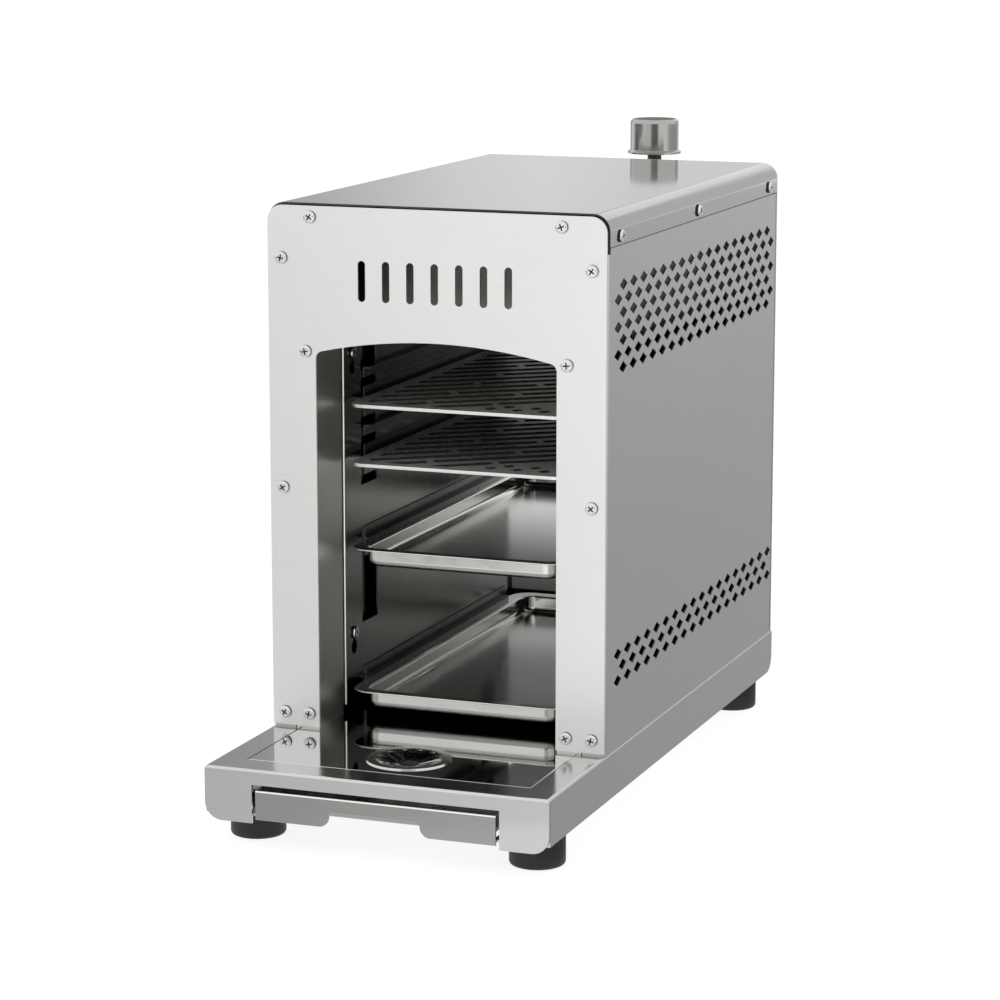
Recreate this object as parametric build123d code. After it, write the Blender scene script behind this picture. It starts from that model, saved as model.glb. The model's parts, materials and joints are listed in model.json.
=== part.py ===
from build123d import *
import math
import os

# Overhead gas grill: a narrow stainless steel case, open at the front, with an
# infrared burner in its roof, two grates and two trays on side racks, a grease
# drawer under the front of the base, and a gas valve with its knob behind the case.
# Working frame: x to the right, y backwards from the front plate's face and z up
# from its lower edge. place() moves each finished piece to the part's own frame.
# All sizes are in millimetres.

# Case
case_width = 230.0
case_height = 341.6
case_depth = 377.1
plate_wall = 1.5
sheet_wall = 1.2
thin_wall = 0.8
corner_radius = 11.0
panel_bend = 2.5
cover_flange_height = 20.6
cover_front_gap = 2.5
plate_side_inset = 0.8
plate_top_inset = 1.5
flange_width = 16.0
tongue_notch = 3.5
tongue_inset = 6.0
front_rail_drop = 3.0
front_rail_end_gap = 6.0
front_rail_lift = 2.0
seam = 0.6
fit_gap = 0.3
past = 1.0  # how far a cut runs past the face that it opens

# Window in the front plate: its legs' width, and its corners' distance from the case's top
leg_width = 33.4
window_drop = 95.1
window_rise = 9.7
window_corner_radius = 5.0

# Vent slots above the window and in the rear panel
vent_count = 7
vent_length = 26.0
vent_width = 5.0
vent_pitch = 16.5
vent_drop = 48.1
rear_vent_heights = [60.0, 200.0]

# Screws
screw_radius = 2.0
screw_hole_radius = 2.15
screw_head_radius = 4.0
screw_head_height = 2.2
screw_head_round = 1.3
screw_length = 7.0
bracket_screw_length = 6.0
recess_length = 4.4
recess_width = 0.9
recess_depth = 1.2
# Each screw's distance from the case's side, and from its top or from the plate's lower edge
front_screws_from_top = [(30.3, 8.6), (10.3, 35.2), (26.5, 94.6)]
front_screws_from_foot = [(9.9, 157.7), (9.4, 8.4), (26.5, 8.4)]
cover_screw_front = 23.5
cover_screw_middle = 185.9
cover_screw_rear_inset = 22.1
cover_screw_drop = 15.2
rear_screw_low = 20.0
rear_screw_middle = 165.0
rear_screw_drop = 53.6

# Lozenge holes in the side panels
lozenge_length = 15.2
lozenge_height = 7.5
lozenge_pitch = 20.1
lozenge_row_pitch = 8.7
lozenge_rear_margin = 4.0
upper_lozenge_drop = 46.0
upper_lozenge_start = 20.2
upper_lozenge_rows = 7
lower_lozenge_top = 60.2
lower_lozenge_start = 23.3
lower_lozenge_rows = 3

# Base
base_gap = 1.67
base_side_inset = 0.25
base_overhang = 104.1
base_tail = 4.5
base_wall = 1.5
base_front_depth = 34.83
base_side_depth = 30.33
base_bend = 2.0
base_corner_radius = 11.5
corner_slit = 0.35
lip_width = 37.0
step_width = 9.0
step_overlap = 2.25

# Drip plate and drain
drip_side_inset = 20.0
drip_front_inset = 22.1
drip_wall = 1.0
drain_from_front = 58.1
drain_radius = 25.0
drain_rim = 2.2
drain_depth = 4.0
drain_slots = 12
drain_slot_width = 3.6
drain_slot_inner_margin = 1.5
drain_slot_outer_margin = 2.0
drain_hub_radius = 7.0

# Drawer: pillars beside its slot, the slot and the front in it, and the pan behind
pillar_width = 32.25
drawer_slot_drop = 9.83
drawer_side_gap = 2.3
drawer_top_gap = 3.4
drawer_height = 19.1
drawer_edge_round = 1.4
drawer_tab_radius = 7.0
drawer_web = 8.0
notch_half_width = 30.2
notch_height = 9.7
notch_radius = 3.0
pan_setback = 16.1
pan_length = 112.0
pan_side_gap = 3.25
pan_lift = 1.5
pan_rim = 4.0
pan_bend = 4.0
runner_clearance = 0.8
runner_lead = 6.0
runner_tie_front = 10.0
runner_tie_rear = 12.0

# Feet
foot_radius = 17.7
foot_height = 21.26
foot_side_inset = 20.35
foot_front_inset = 35.6
foot_rear_inset = 33.6
foot_round = 2.5
foot_pocket_radius = 7.5
foot_pocket_depth = 6.0
foot_screw_radius = 3.0
foot_screw_gap = 0.2
foot_screw_past_nut = 1.0
foot_head_radius = 5.5
foot_head_height = 3.6
foot_key_radius = 2.6
foot_key_depth = 2.0
foot_nut_height = 5.0
foot_nut_across = 10.0
thread_gap = 0.05

# Inner walls and racks
jamb_setback = 0.4
jamb_rear = 41.0
rack_gap = 5.0
rack_depth = 6.0
liner_front = 8.5
liner_rear_gap = 6.1
liner_flange = 6.0
liner_flange_setback = 10.0
roof_drop = 35.6
rack_rear_gap = 19.0
rack_bottom = 4.0
rack_top_drop = 0.5
rack_window = 27.0
rack_window_inset = 28.0
rack_window_margin = 4.0
rack_window_height = 94.5
rack_low_window_bottom = 54.0
rack_low_window_top = 102.5
pin_inset = 14.0
pin_low = 50.5
pin_drop = 7.5
pin_past_liner = 1.5
keyhole_drop = 10.0
keyhole_radius = 4.7
rail_front_inset = 31.0
rail_rear_inset = 6.0
shelf_reach = 11.0
web_height = 20.0
web_above_shelf = 7.5
guide_height = 7.3
guide_reach = 5.5
guide_above = 13.6

# Grates
grate_side_gap = 6.0
grate_wall = 2.2
grate_front = 36.0
grate_corner = 11.0
grate_border = 9.0
upper_grate_drop = 38.3
grate_spacing = 38.9
bar_angle = 36.5
bar_pitch = 17.2
bar_start = 7.2
slot_width = 8.2
smallest_slot_area = 40.0
bridge_pitch = 41.8
bridge_width = 5.0
bridge_start = -26.7
lozenge_field_x = 12.0
lozenge_field_length = 46.0
lozenge_field_edge_x = 38.0
grate_hole = 6.8
grate_hole_x = 18.4
grate_hole_y = 15.0
grate_hole_pitch_x = 18.4
grate_hole_pitch_y = 10.0
grate_hole_margin = 2.0

# Trays
tray_side_gap = 6.1
tray_front = 33.3
tray_past_rack = 4.0
tray_rim_width = 8.7
tray_depth = 13.0
tray_corner = 10.0
tray_rim_corner = 15.0
tray_bottom_round = 5.0
tray_rim_round = 2.0
upper_tray_top = 112.7
lower_tray_top = 17.4

# Burner
burner_front = 70.0
burner_rear_gap = 25.0
burner_side_gap = 14.0
burner_depth = 38.5
burner_round = 4.0
tile_side_margin = 8.0
tile_end_margin = 5.0
tile_height = 13.0
tile_count = 3
tile_gap = 1.0
tile_chamfer = 1.0
frame_rim = 3.0
frame_hold = 4.0
hanger_height = 5.5
hanger_length = 20.0
hanger_inset = 50.0
hanger_side_gap = 14.0
hanger_foot = 14.0

# Gas way behind the case
tube_radius = 11.0
tube_fit = 0.1
tube_drop = 13.0
tube_inside = 20.0
tube_behind = 36.4
air_slot_length = 16.0
air_slot_width = 7.0
air_slot_margin = 3.0
bracket_below_top = 23.6
bracket_half_width = 46.0
bracket_wall = 2.0
bracket_height = 56.0
bracket_past_valve = 28.0
bracket_lip = 10.0
cheek_foot = 24.0
bracket_screw_inset = 8.0
bracket_screw_drop = 10.0
electrode_slot_half_width = 6.0
electrode_slot_above = 10.0
valve_behind = 68.9
valve_half_width = 15.0
valve_half_depth = 18.0
valve_height = 50.0
valve_round = 3.0
valve_bore = 1.5
valve_bore_depth = 4.0
neck_radius = 7.0
neck_rise = 3.0
hole_gap = 0.2
outlet_radius = 6.0
outlet_fit = 0.05
outlet_reach = 3.5
injector_radius = 3.6
injector_length = 9.0
injector_bore = 0.5
port_radius = 4.5
port_length = 5.0
port_height = 28.0
inlet_radius = 6.58
inlet_length = 20.0
inlet_hex_across = 19.0
inlet_hex_length = 5.0
inlet_bore = 3.0
inlet_drop = 34.0

# Stem and knob
stem_radius = 4.0
stem_fit = 0.06
stem_depth = 16.0
push_travel = 4.0
spring_room = 8.6
collar_height = 2.0
collar_radius = 6.4
spring_radius = 5.3
spring_wire = 0.7
spring_turns = 4
hub_rise = 0.8
hub_radius = 5.2
hub_disc_height = 6.0
hub_fit = 0.05
hub_bore_fit = 0.02
knob_radius = 18.0
knob_lip_radius = 20.0
knob_lip_rise = 7.6
knob_lip_height = 2.6
knob_lip_edge = 1.6
knob_height = 25.5
knob_round = 3.0
knob_wall = 1.2

# Igniter, electrode and thermocouple
igniter_x = 28.0
igniter_radius = 8.0
igniter_depth = 34.0
igniter_rise = 5.0
igniter_flange = 2.5
igniter_flange_height = 3.0
igniter_nut_across = 22.0
igniter_nut_height = 3.0
button_radius = 6.0
button_depth = 14.0
button_rise = 9.0
button_round = 1.2
button_travel = 5.0
terminal_radius = 2.0
terminal_length = 7.0
electrode_drop = 6.0
electrode_radius = 3.4
electrode_inside = 33.0
electrode_outside = 12.9
electrode_pin_radius = 1.0
electrode_pin_fit = 0.05
electrode_pin_reach = 16.0
electrode_pin_tail = 5.0
lead_radius = 1.6
couple_x = -40.0
couple_radius = 1.5
couple_inside = 24.0

# Case and base, worked out
half_width = case_width / 2
panel_rear = case_depth - plate_wall
base_top = -base_gap
base_bottom = base_top - base_side_depth
base_half_width = half_width - base_side_inset
base_rear = case_depth + base_tail
ground = base_bottom - foot_height
window_width = case_width - 2 * leg_width
window_corner_height = case_height - window_drop
window_crown_height = window_corner_height + window_rise
front_screws = [(half_width - inset, case_height - drop) for inset, drop in front_screws_from_top]
front_screws += [(half_width - inset, height) for inset, height in front_screws_from_foot]
cover_screw_ys = [cover_screw_front, cover_screw_middle, case_depth - cover_screw_rear_inset]
cover_screw_height = case_height - cover_screw_drop
rear_screw_zs = [rear_screw_low, rear_screw_middle, case_height - rear_screw_drop]
foot_x = base_half_width - foot_side_inset
foot_ys = [foot_front_inset - base_overhang, base_rear - foot_rear_inset]

# Drawer, worked out
drawer_slot_half_width = base_half_width - pillar_width
drawer_slot_top = base_top - drawer_slot_drop
drawer_half_width = drawer_slot_half_width - drawer_side_gap
drawer_top = drawer_slot_top - drawer_top_gap
drawer_bottom = drawer_top - drawer_height
notch_top = drawer_bottom + notch_height
pan_front = pan_setback - base_overhang
pan_rear = pan_front + pan_length
pan_half_width = base_half_width - lip_width - pan_side_gap
pan_bottom = drawer_bottom + pan_lift

# Inner walls, racks, grates and trays, worked out
jamb_x = window_width / 2 + jamb_setback
liner_x = jamb_x + rack_depth
liner_rear = case_depth - liner_rear_gap
liner_top = case_height - roof_drop
rack_front = jamb_rear + rack_gap
rack_rear = liner_rear - rack_rear_gap
rack_top = window_corner_height - rack_top_drop
rack_window_top = rack_top - rack_window_margin
pin_ys = [rack_front + pin_inset, rack_rear - pin_inset]
pin_zs = [pin_low, rack_top - pin_drop]
rail_front = rack_front + rail_front_inset
rail_rear = rack_rear - rail_rear_inset
grate_width = 2 * (jamb_x - grate_side_gap)
grate_length = rack_rear - grate_front
upper_grate_top = window_corner_height - upper_grate_drop
grate_tops = {"upper_grate": upper_grate_top, "lower_grate": upper_grate_top - grate_spacing}
tray_width = 2 * (jamb_x - tray_side_gap)
tray_length = rack_rear + tray_past_rack - tray_front
tray_tops = {"upper_tray": upper_tray_top, "lower_tray": lower_tray_top}
drip_half_width = half_width - drip_side_inset
drip_front = drip_front_inset - base_overhang
drip_rear = liner_rear
drain_y = drain_from_front - base_overhang

# Burner, valve, knob and igniter, worked out
burner_rear = liner_rear - burner_rear_gap
burner_half_width = liner_x - burner_side_gap
burner_top = liner_top - hanger_height
burner_bottom = burner_top - burner_depth
tile_width = 2 * (burner_half_width - tile_side_margin)
tile_start = burner_front + tile_end_margin
tile_end = burner_rear - tile_end_margin
tile_length = (tile_end - tile_start - (tile_count - 1) * tile_gap) / tile_count
hanger_half_width = burner_half_width - hanger_side_gap
tube_z = burner_top - tube_drop
tube_front = burner_rear - tube_inside
tube_rear = case_depth + tube_behind
outlet_end = tube_rear - outlet_reach
valve_y = case_depth + valve_behind
valve_front = valve_y - valve_half_depth
valve_rear = valve_y + valve_half_depth
bracket_rear = valve_y + bracket_past_valve
bracket_top = case_height - bracket_below_top
bracket_bottom = bracket_top - bracket_height
valve_bottom = bracket_top - valve_height
neck_top = bracket_top + neck_rise
port_z = valve_bottom + port_height
inlet_z = bracket_top - inlet_drop
inlet_rear = valve_rear + inlet_hex_length + inlet_length
stem_bottom = bracket_top - stem_depth
collar_bottom = neck_top + spring_room
hub_bottom = collar_bottom + collar_height + hub_rise
knob_lip_bottom = hub_bottom + knob_lip_rise
knob_top = knob_lip_bottom + knob_height
hub_top = knob_top - knob_wall
igniter_bottom = bracket_top - igniter_depth
igniter_rim_top = bracket_top + igniter_rise
button_bottom = bracket_top - button_depth
button_top = igniter_rim_top + button_rise
electrode_z = burner_bottom - electrode_drop
electrode_front = liner_rear - electrode_inside
electrode_rear = case_depth + electrode_outside
electrode_tip = electrode_front - electrode_pin_reach
couple_front = burner_rear - couple_inside
middle_y = (inlet_rear - base_overhang) / 2


def box(x0, x1, y0, y1, z0, z1):
    return Pos((x0 + x1) / 2, (y0 + y1) / 2, (z0 + z1) / 2) * Box(x1 - x0, y1 - y0, z1 - z0)


def rod_x(radius, x0, x1, y, z):
    return Pos((x0 + x1) / 2, y, z) * Rot(0, 90, 0) * Cylinder(radius, x1 - x0)


def rod_y(radius, x, y0, y1, z):
    return Pos(x, (y0 + y1) / 2, z) * Rot(90, 0, 0) * Cylinder(radius, y1 - y0)


def rod_z(radius, x, y, z0, z1):
    return Pos(x, y, (z0 + z1) / 2) * Cylinder(radius, z1 - z0)


def sideways(face, x, wall):
    """A face drawn in y and z, given a thickness to the right from x."""
    return extrude(Plane.YZ.offset(x) * face, wall)


def both_sides(piece):
    """The piece and its mirror image in the middle plane."""
    return [piece, mirror(piece, about=Plane.YZ)]


def place(pieces):
    """One piece, or a compound of several, moved to the part's own frame."""
    pieces = pieces if isinstance(pieces, list) else [pieces]
    solids = [solid for piece in pieces for solid in piece.solids()]
    return Pos(0, -middle_y, -ground) * Compound(children=solids)


def save(name, pieces):
    export_step(place(pieces), f"parts/{name}.step")


def edges_at(shape, axis, z, tolerance=0.01):
    """The shape's edges that lie in the plane where the axis has this value."""
    return shape.edges().filter_by_position(axis, z - tolerance, z + tolerance)


def edges_within(shape, z, x, y):
    """The shape's edges at this height whose middles lie nearer to the axis than x and y."""
    return [edge for edge in edges_at(shape, Axis.Z, z)
            if abs(edge.center().X) < x and abs(edge.center().Y) < y]


def edges_along_y(shape, x, z, tolerance=0.01):
    """The shape's edges along y that stand at this height and at x on either side."""
    return [edge for edge in shape.edges().filter_by(Axis.Y)
            if abs(abs(edge.center().X) - x) < tolerance and abs(edge.center().Z - z) < tolerance]


# Screws


def pan_screw(length=screw_length):
    """A pan-head screw along z, its head's seat at z = 0 and its shank below."""
    head = rod_z(screw_head_radius, 0, 0, 0, screw_head_height)
    head = fillet(edges_at(head, Axis.Z, screw_head_height), screw_head_round)
    for angle in (0, 90):
        slot = Pos(0, 0, screw_head_height - recess_depth / 2) * Box(recess_length, recess_width, recess_depth)
        head -= Rot(0, 0, angle) * slot
    return head + rod_z(screw_radius, 0, 0, -length, 0)


FACING = {"front": Rot(90, 0, 0), "rear": Rot(-90, 0, 0), "right": Rot(0, 90, 0), "left": Rot(0, -90, 0),
          "down": Rot(180, 0, 0)}


def screw_at(x, y, z, facing, length=screw_length, turn=45):
    return Pos(x, y, z) * FACING[facing] * Rot(0, 0, turn) * pan_screw(length)


def front_plate_screws():
    screws = []
    for count, (x, z) in enumerate(front_screws):
        screws.append(screw_at(x, 0, z, "front", turn=20 + 37 * count))
        screws.append(screw_at(-x, 0, z, "front", turn=55 + 23 * count))
    return screws


def cover_screws():
    screws = []
    for count, y in enumerate(cover_screw_ys):
        screws.append(screw_at(half_width, y, cover_screw_height, "right", turn=15 + 30 * count))
        screws.append(screw_at(-half_width, y, cover_screw_height, "left", turn=40 + 30 * count))
    return screws


def rear_screw_places():
    x = half_width - flange_width / 2
    return [(side * x, z) for side in (-1, 1) for z in rear_screw_zs]


def rear_panel_screws():
    return [screw_at(x, case_depth, z, "rear") for x, z in rear_screw_places()]


def base_screw_places():
    x = half_width - flange_width / 2
    return [(side * x, y) for side in (-1, 1) for y in cover_screw_ys]


def base_screws():
    """Screws from under the base into the side panels' lower flanges."""
    return [screw_at(x, y, base_top - base_wall, "down") for x, y in base_screw_places()]


# Case


def window_face():
    """The window's outline: straight legs, small corners and an arched top."""
    half = window_width / 2
    low = -case_height
    outline = Polyline((-half, window_corner_height), (-half, low), (half, low), (half, window_corner_height))
    crown = ThreePointArc((half, window_corner_height), (0, window_crown_height), (-half, window_corner_height))
    face = make_face(outline + crown)
    corners = face.vertices().group_by(Axis.Y)[-1]
    return fillet(corners, window_corner_radius)


def plate_face(bottom, side_inset, top_inset):
    """A rectangle with rounded top corners, inset from the case's sides and top."""
    height = case_height - top_inset - bottom
    face = Pos(0, bottom + height / 2) * Rectangle(case_width - 2 * side_inset, height)
    return fillet(face.vertices().group_by(Axis.Y)[-1], corner_radius - side_inset)


def standing(face, y, wall):
    """A face drawn in x and z, given a thickness backwards from y."""
    return Pos(0, y + wall, 0) * Rot(90, 0, 0) * extrude(face, wall)


def vent_slots(y0, y1, height):
    slot = extrude(SlotOverall(vent_length, vent_width), y1 - y0)
    middle = (vent_count - 1) / 2
    return [Pos((count - middle) * vent_pitch, y1, height) * Rot(90, 0, 0) * Rot(0, 0, 90) * slot
            for count in range(vent_count)]


def front_plate():
    face = plate_face(0, plate_side_inset, plate_top_inset) - window_face()
    plate = standing(face, 0, plate_wall)
    for x, z in front_screws:
        for side in (-1, 1):
            plate -= rod_y(screw_hole_radius, side * x, -past, plate_wall + past, z)
    for slot in vent_slots(-past, plate_wall + past, case_height - vent_drop):
        plate -= slot
    return plate


def cover_face(offset):
    """The cover's outline, or its inside when the offset is the wall."""
    low = case_height - cover_flange_height
    high = case_height - offset
    width = case_width - 2 * offset
    face = Pos(0, (low + high) / 2) * Rectangle(width, high - low)
    return fillet(face.vertices().group_by(Axis.Y)[-1], corner_radius - offset)


def top_cover():
    front = plate_wall + cover_front_gap
    cover = standing(cover_face(0) - cover_face(sheet_wall), front, panel_rear - front)
    for y in cover_screw_ys:
        cover -= rod_x(screw_hole_radius, -half_width - past, half_width + past, y, cover_screw_height)
    return cover


def lozenge_holes(top, start, rows, first_row_short):
    """Rows of lozenges, every second row half a pitch along and one hole shorter."""
    face = make_face(Polyline((-lozenge_length / 2, 0), (0, lozenge_height / 2), (lozenge_length / 2, 0),
                              (0, -lozenge_height / 2), close=True))
    depth = 3 * sheet_wall
    prism = sideways(face, half_width - depth / 2, depth)
    room = case_depth - start - lozenge_length / 2 - lozenge_rear_margin
    columns = int(room / lozenge_pitch) + 1
    holes = []
    for row in range(rows):
        short = (row % 2 == 0) == first_row_short
        count = columns - 1 if short else columns
        shift = lozenge_pitch / 2 if short else 0
        for column in range(count):
            holes.append(Pos(0, start + shift + column * lozenge_pitch, top - row * lozenge_row_pitch) * prism)
    return holes


def side_panel():
    """The right side panel: a tall sheet with folded edges and a stepped tongue under the cover."""
    panel_top = case_height - cover_flange_height - seam
    inner_x = half_width - flange_width
    height = panel_top - base_top
    middle = Pos((inner_x + half_width) / 2, (plate_wall + panel_rear) / 2)
    outer = middle * Rectangle(flange_width, panel_rear - plate_wall)
    outer = fillet(outer.vertices().group_by(Axis.X)[-1], panel_bend)
    hollow = Pos(-sheet_wall, 0) * middle * Rectangle(flange_width, panel_rear - plate_wall - 2 * sheet_wall)
    hollow = fillet(hollow.vertices().group_by(Axis.X)[-1], panel_bend - sheet_wall)
    panel = Pos(0, 0, base_top) * extrude(outer - hollow, height)
    notch_bottom = panel_top - tongue_notch
    panel -= box(inner_x - past, half_width + past, plate_wall - past, plate_wall + cover_front_gap + past,
                 notch_bottom, panel_top + past)
    step_bottom = panel_top - sheet_wall
    tongue_x = half_width - sheet_wall - fit_gap
    first, last = plate_wall + tongue_inset, panel_rear - tongue_inset
    panel += box(tongue_x - sheet_wall, half_width, first, last, step_bottom, panel_top)
    panel += box(tongue_x - sheet_wall, tongue_x, first, last, step_bottom, case_height - corner_radius)
    panel += box(inner_x, half_width - sheet_wall, first, last, base_top, base_top + sheet_wall)
    panel -= lozenge_holes(case_height - upper_lozenge_drop, upper_lozenge_start, upper_lozenge_rows, True)
    panel -= lozenge_holes(lower_lozenge_top, lower_lozenge_start, lower_lozenge_rows, False)
    for x, z in front_screws:
        if x > inner_x and z < notch_bottom:
            panel -= rod_y(screw_hole_radius, x, plate_wall - past, plate_wall + sheet_wall + past, z)
    for x, z in rear_screw_places():
        panel -= rod_y(screw_hole_radius, x, panel_rear - sheet_wall - past, panel_rear + past, z)
    for y in cover_screw_ys:
        panel -= rod_x(screw_hole_radius, tongue_x - sheet_wall - past, tongue_x + past, y, cover_screw_height)
    for x, y in base_screw_places():
        panel -= rod_z(screw_hole_radius, x, y, base_top - past, base_top + sheet_wall + past)
    return panel


def front_rail():
    """A folded rail behind the front plate's top edge, between the side panels."""
    reach = half_width - corner_radius - front_rail_end_gap
    top = case_height - sheet_wall - front_rail_drop
    bottom = case_height - cover_flange_height + front_rail_lift
    rail = box(-reach, reach, plate_wall, plate_wall + sheet_wall, bottom, top)
    rail += box(-reach, reach, plate_wall, plate_wall + flange_width, top - sheet_wall, top)
    for x, z in front_screws:
        for side in (-1, 1):
            rail -= rod_y(screw_hole_radius, side * x, plate_wall - past, plate_wall + sheet_wall + past, z)
    return rail


def rear_panel():
    y0, y1 = panel_rear - past, case_depth + past
    panel = standing(plate_face(base_top, 0, 0), panel_rear, plate_wall)
    for x, z in rear_screw_places() + bracket_screw_places():
        panel -= rod_y(screw_hole_radius, x, y0, y1, z)
    panel -= rod_y(tube_radius + seam, 0, y0, y1, tube_z)
    panel -= rod_y(electrode_radius + seam, igniter_x, y0, y1, electrode_z)
    panel -= rod_y(couple_radius + seam, couple_x, y0, y1, electrode_z)
    for height in rear_vent_heights:
        for slot in vent_slots(y0, y1, height):
            panel -= slot
    return panel


# Base


def base_pan():
    """The folded base: top with a stepped opening, four flanges and two lower lips."""
    x = base_half_width
    front = -base_overhang
    front_bottom = base_top - base_front_depth
    body = box(-x, x, front, base_rear, base_bottom, base_top)
    body = fillet(edges_at(body, Axis.Z, base_top), base_bend)
    body -= box(-x + base_wall, x - base_wall, front + base_wall, base_rear - base_wall, base_bottom - past,
                base_top - base_wall)
    body += box(-x, x, front, front + base_wall, front_bottom, base_bottom + base_wall)
    lip = box(x - lip_width, x - base_wall, front + base_wall, base_rear - base_wall, base_bottom,
              base_bottom + base_wall)
    for side in both_sides(lip):
        body += side
    opening = drip_half_width + seam
    body -= box(-opening, opening, drip_front - seam, drip_rear + seam, base_top - base_wall - past,
                base_top + past)
    step_top = base_top - drip_wall
    outer = opening + step_overlap
    step = box(-outer, outer, drip_front - seam - step_overlap, drip_rear + seam + step_overlap,
               step_top - base_wall, step_top)
    inner = opening - step_width
    step -= box(-inner, inner, drip_front + step_width, drip_rear - step_width, step_top - base_wall - past,
                step_top + past)
    body += step
    body -= box(-drawer_slot_half_width, drawer_slot_half_width, front - past, front + base_wall + fit_gap,
                front_bottom - past, drawer_slot_top)
    slit = box(x - base_wall, x + past, front + base_wall, front + base_wall + corner_slit, base_bottom - past,
               base_top - base_bend)
    front_corner = front_corner_cut(front_bottom)
    for side in both_sides(slit) + both_sides(front_corner) + both_sides(rear_corner_cut()):
        body -= side
    for x, y in base_screw_places():
        body -= rod_z(screw_hole_radius, x, y, base_top - base_wall - past, base_top + past)
    for x, y in foot_places():
        body -= rod_z(foot_screw_radius + foot_screw_gap, x, y, base_bottom - past, base_bottom + base_wall + past)
    return body


def front_corner_cut(low):
    """What is cut from the front flange's right lower corner to round it."""
    radius = base_corner_radius
    x = base_half_width
    y0, y1 = -base_overhang - past, base_wall - base_overhang
    block = box(x - radius, x + past, y0, y1, low - past, low + radius)
    return block - rod_y(radius, x - radius, y0 - past, y1 + past, low + radius)


def rear_corner_cut():
    """What is cut from the right side flange's rear lower corner to round it."""
    radius = base_corner_radius
    x0, x1 = base_half_width - base_wall, base_half_width + past
    block = box(x0, x1, base_rear - radius, base_rear + past, base_bottom - past, base_bottom + radius)
    return block - rod_x(radius, x0 - past, x1 + past, base_rear - radius, base_bottom + radius)


def drip_plate():
    plate = box(-drip_half_width, drip_half_width, drip_front, drip_rear, base_top - drip_wall, base_top)
    return plate - rod_z(drain_radius, 0, drain_y, base_top - drip_wall - past, base_top + past)


def drain_strainer():
    """A dished disc with radial slots, its rim lying on the drip plate."""
    rim = drain_radius + drain_rim
    lip = base_top + thin_wall
    mouth = drain_radius - drain_rim
    floor = base_top - drain_depth
    hub = drain_hub_radius
    outline = Polyline((0, floor), (hub, floor), (mouth, base_top), (rim, base_top), (rim, lip),
                       (mouth - thin_wall, lip), (hub - thin_wall / 2, floor + thin_wall), (0, floor + thin_wall),
                       close=True)
    dish = revolve(Plane.XZ * make_face(outline), Axis.Z)
    dish = Pos(0, drain_y, 0) * dish
    inner, outer = hub + drain_slot_inner_margin, mouth - drain_slot_outer_margin
    slot = extrude(Pos((inner + outer) / 2, 0) * SlotOverall(outer - inner, drain_slot_width), 3 * drain_depth)
    for count in range(drain_slots):
        dish -= Pos(0, drain_y, floor - drain_depth) * Rot(0, 0, count * 360 / drain_slots) * slot
    return dish


def drawer_runners():
    """Two folded angles under the base top that carry the drawer's rims."""
    leg_x = pan_half_width + pan_rim + runner_clearance
    shelf_top = drawer_top - sheet_wall - fit_gap
    front, rear = pan_front - runner_lead, pan_rear
    top = base_top - drip_wall - base_wall
    tie_front, tie_rear = front + runner_tie_front, rear - runner_tie_rear
    leg = box(leg_x, leg_x + sheet_wall, front, rear, shelf_top - sheet_wall, top)
    shelf = box(pan_half_width + runner_clearance, leg_x, front, rear, shelf_top - sheet_wall, shelf_top)
    foot = box(leg_x, base_half_width - base_wall, tie_front, tie_rear, top - sheet_wall, top)
    tie = box(drip_half_width + seam + step_overlap + fit_gap, base_half_width - base_wall, tie_front, tie_rear,
              top - sheet_wall, base_top - base_wall)
    return both_sides(leg + shelf + foot + tie)


def foot_places():
    return [(side * foot_x, y) for side in (-1, 1) for y in foot_ys]


def feet():
    rubber = rod_z(foot_radius, 0, 0, ground, base_bottom)
    rubber = fillet(edges_at(rubber, Axis.Z, ground), foot_round)
    rubber -= rod_z(foot_pocket_radius, 0, 0, ground - past, ground + foot_pocket_depth)
    rubber -= rod_z(foot_screw_radius + foot_screw_gap, 0, 0, ground, base_bottom + past)
    return [Pos(x, y, 0) * rubber for x, y in foot_places()]


def foot_screws():
    seat = ground + foot_pocket_depth
    head_bottom = seat - foot_head_height
    nut_top = base_bottom + base_wall + foot_nut_height
    screw = rod_z(foot_head_radius, 0, 0, head_bottom, seat)
    screw += rod_z(foot_screw_radius, 0, 0, seat, nut_top + foot_screw_past_nut)
    screw -= Pos(0, 0, head_bottom) * extrude(RegularPolygon(foot_key_radius, 6), foot_key_depth)
    return [Pos(x, y, 0) * screw for x, y in foot_places()]


def foot_nuts():
    low = base_bottom + base_wall
    nut = Pos(0, 0, low) * extrude(RegularPolygon(foot_nut_across / 2, 6, major_radius=False), foot_nut_height)
    nut -= rod_z(foot_screw_radius + thread_gap, 0, 0, low - past, low + foot_nut_height + past)
    return [Pos(x, y, 0) * nut for x, y in foot_places()]


# Drawer


def drawer_front():
    """The drawer's folded front with its finger notch and the web back to the pan."""
    y0 = -base_overhang
    web_rear = pan_front - drawer_web
    face = Pos(0, (drawer_top + drawer_bottom) / 2) * Rectangle(2 * drawer_half_width, drawer_height)
    face -= Pos(0, drawer_bottom + notch_height / 2) * Rectangle(2 * notch_half_width, notch_height)
    front = standing(face, y0, base_wall)
    front = fillet(edges_along_y(front, notch_half_width, drawer_bottom), drawer_tab_radius)
    front = fillet(edges_along_y(front, notch_half_width, notch_top), notch_radius)
    front += box(-drawer_half_width, drawer_half_width, y0, web_rear, drawer_top - base_wall, drawer_top)
    top_edge = [edge for edge in edges_at(front, Axis.Z, drawer_top) if abs(edge.center().Y - y0) < 0.01]
    front = fillet(top_edge, drawer_edge_round)
    reach = pan_half_width + pan_rim
    return front + box(-reach, reach, web_rear, pan_front, drawer_top - sheet_wall, drawer_top)


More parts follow.
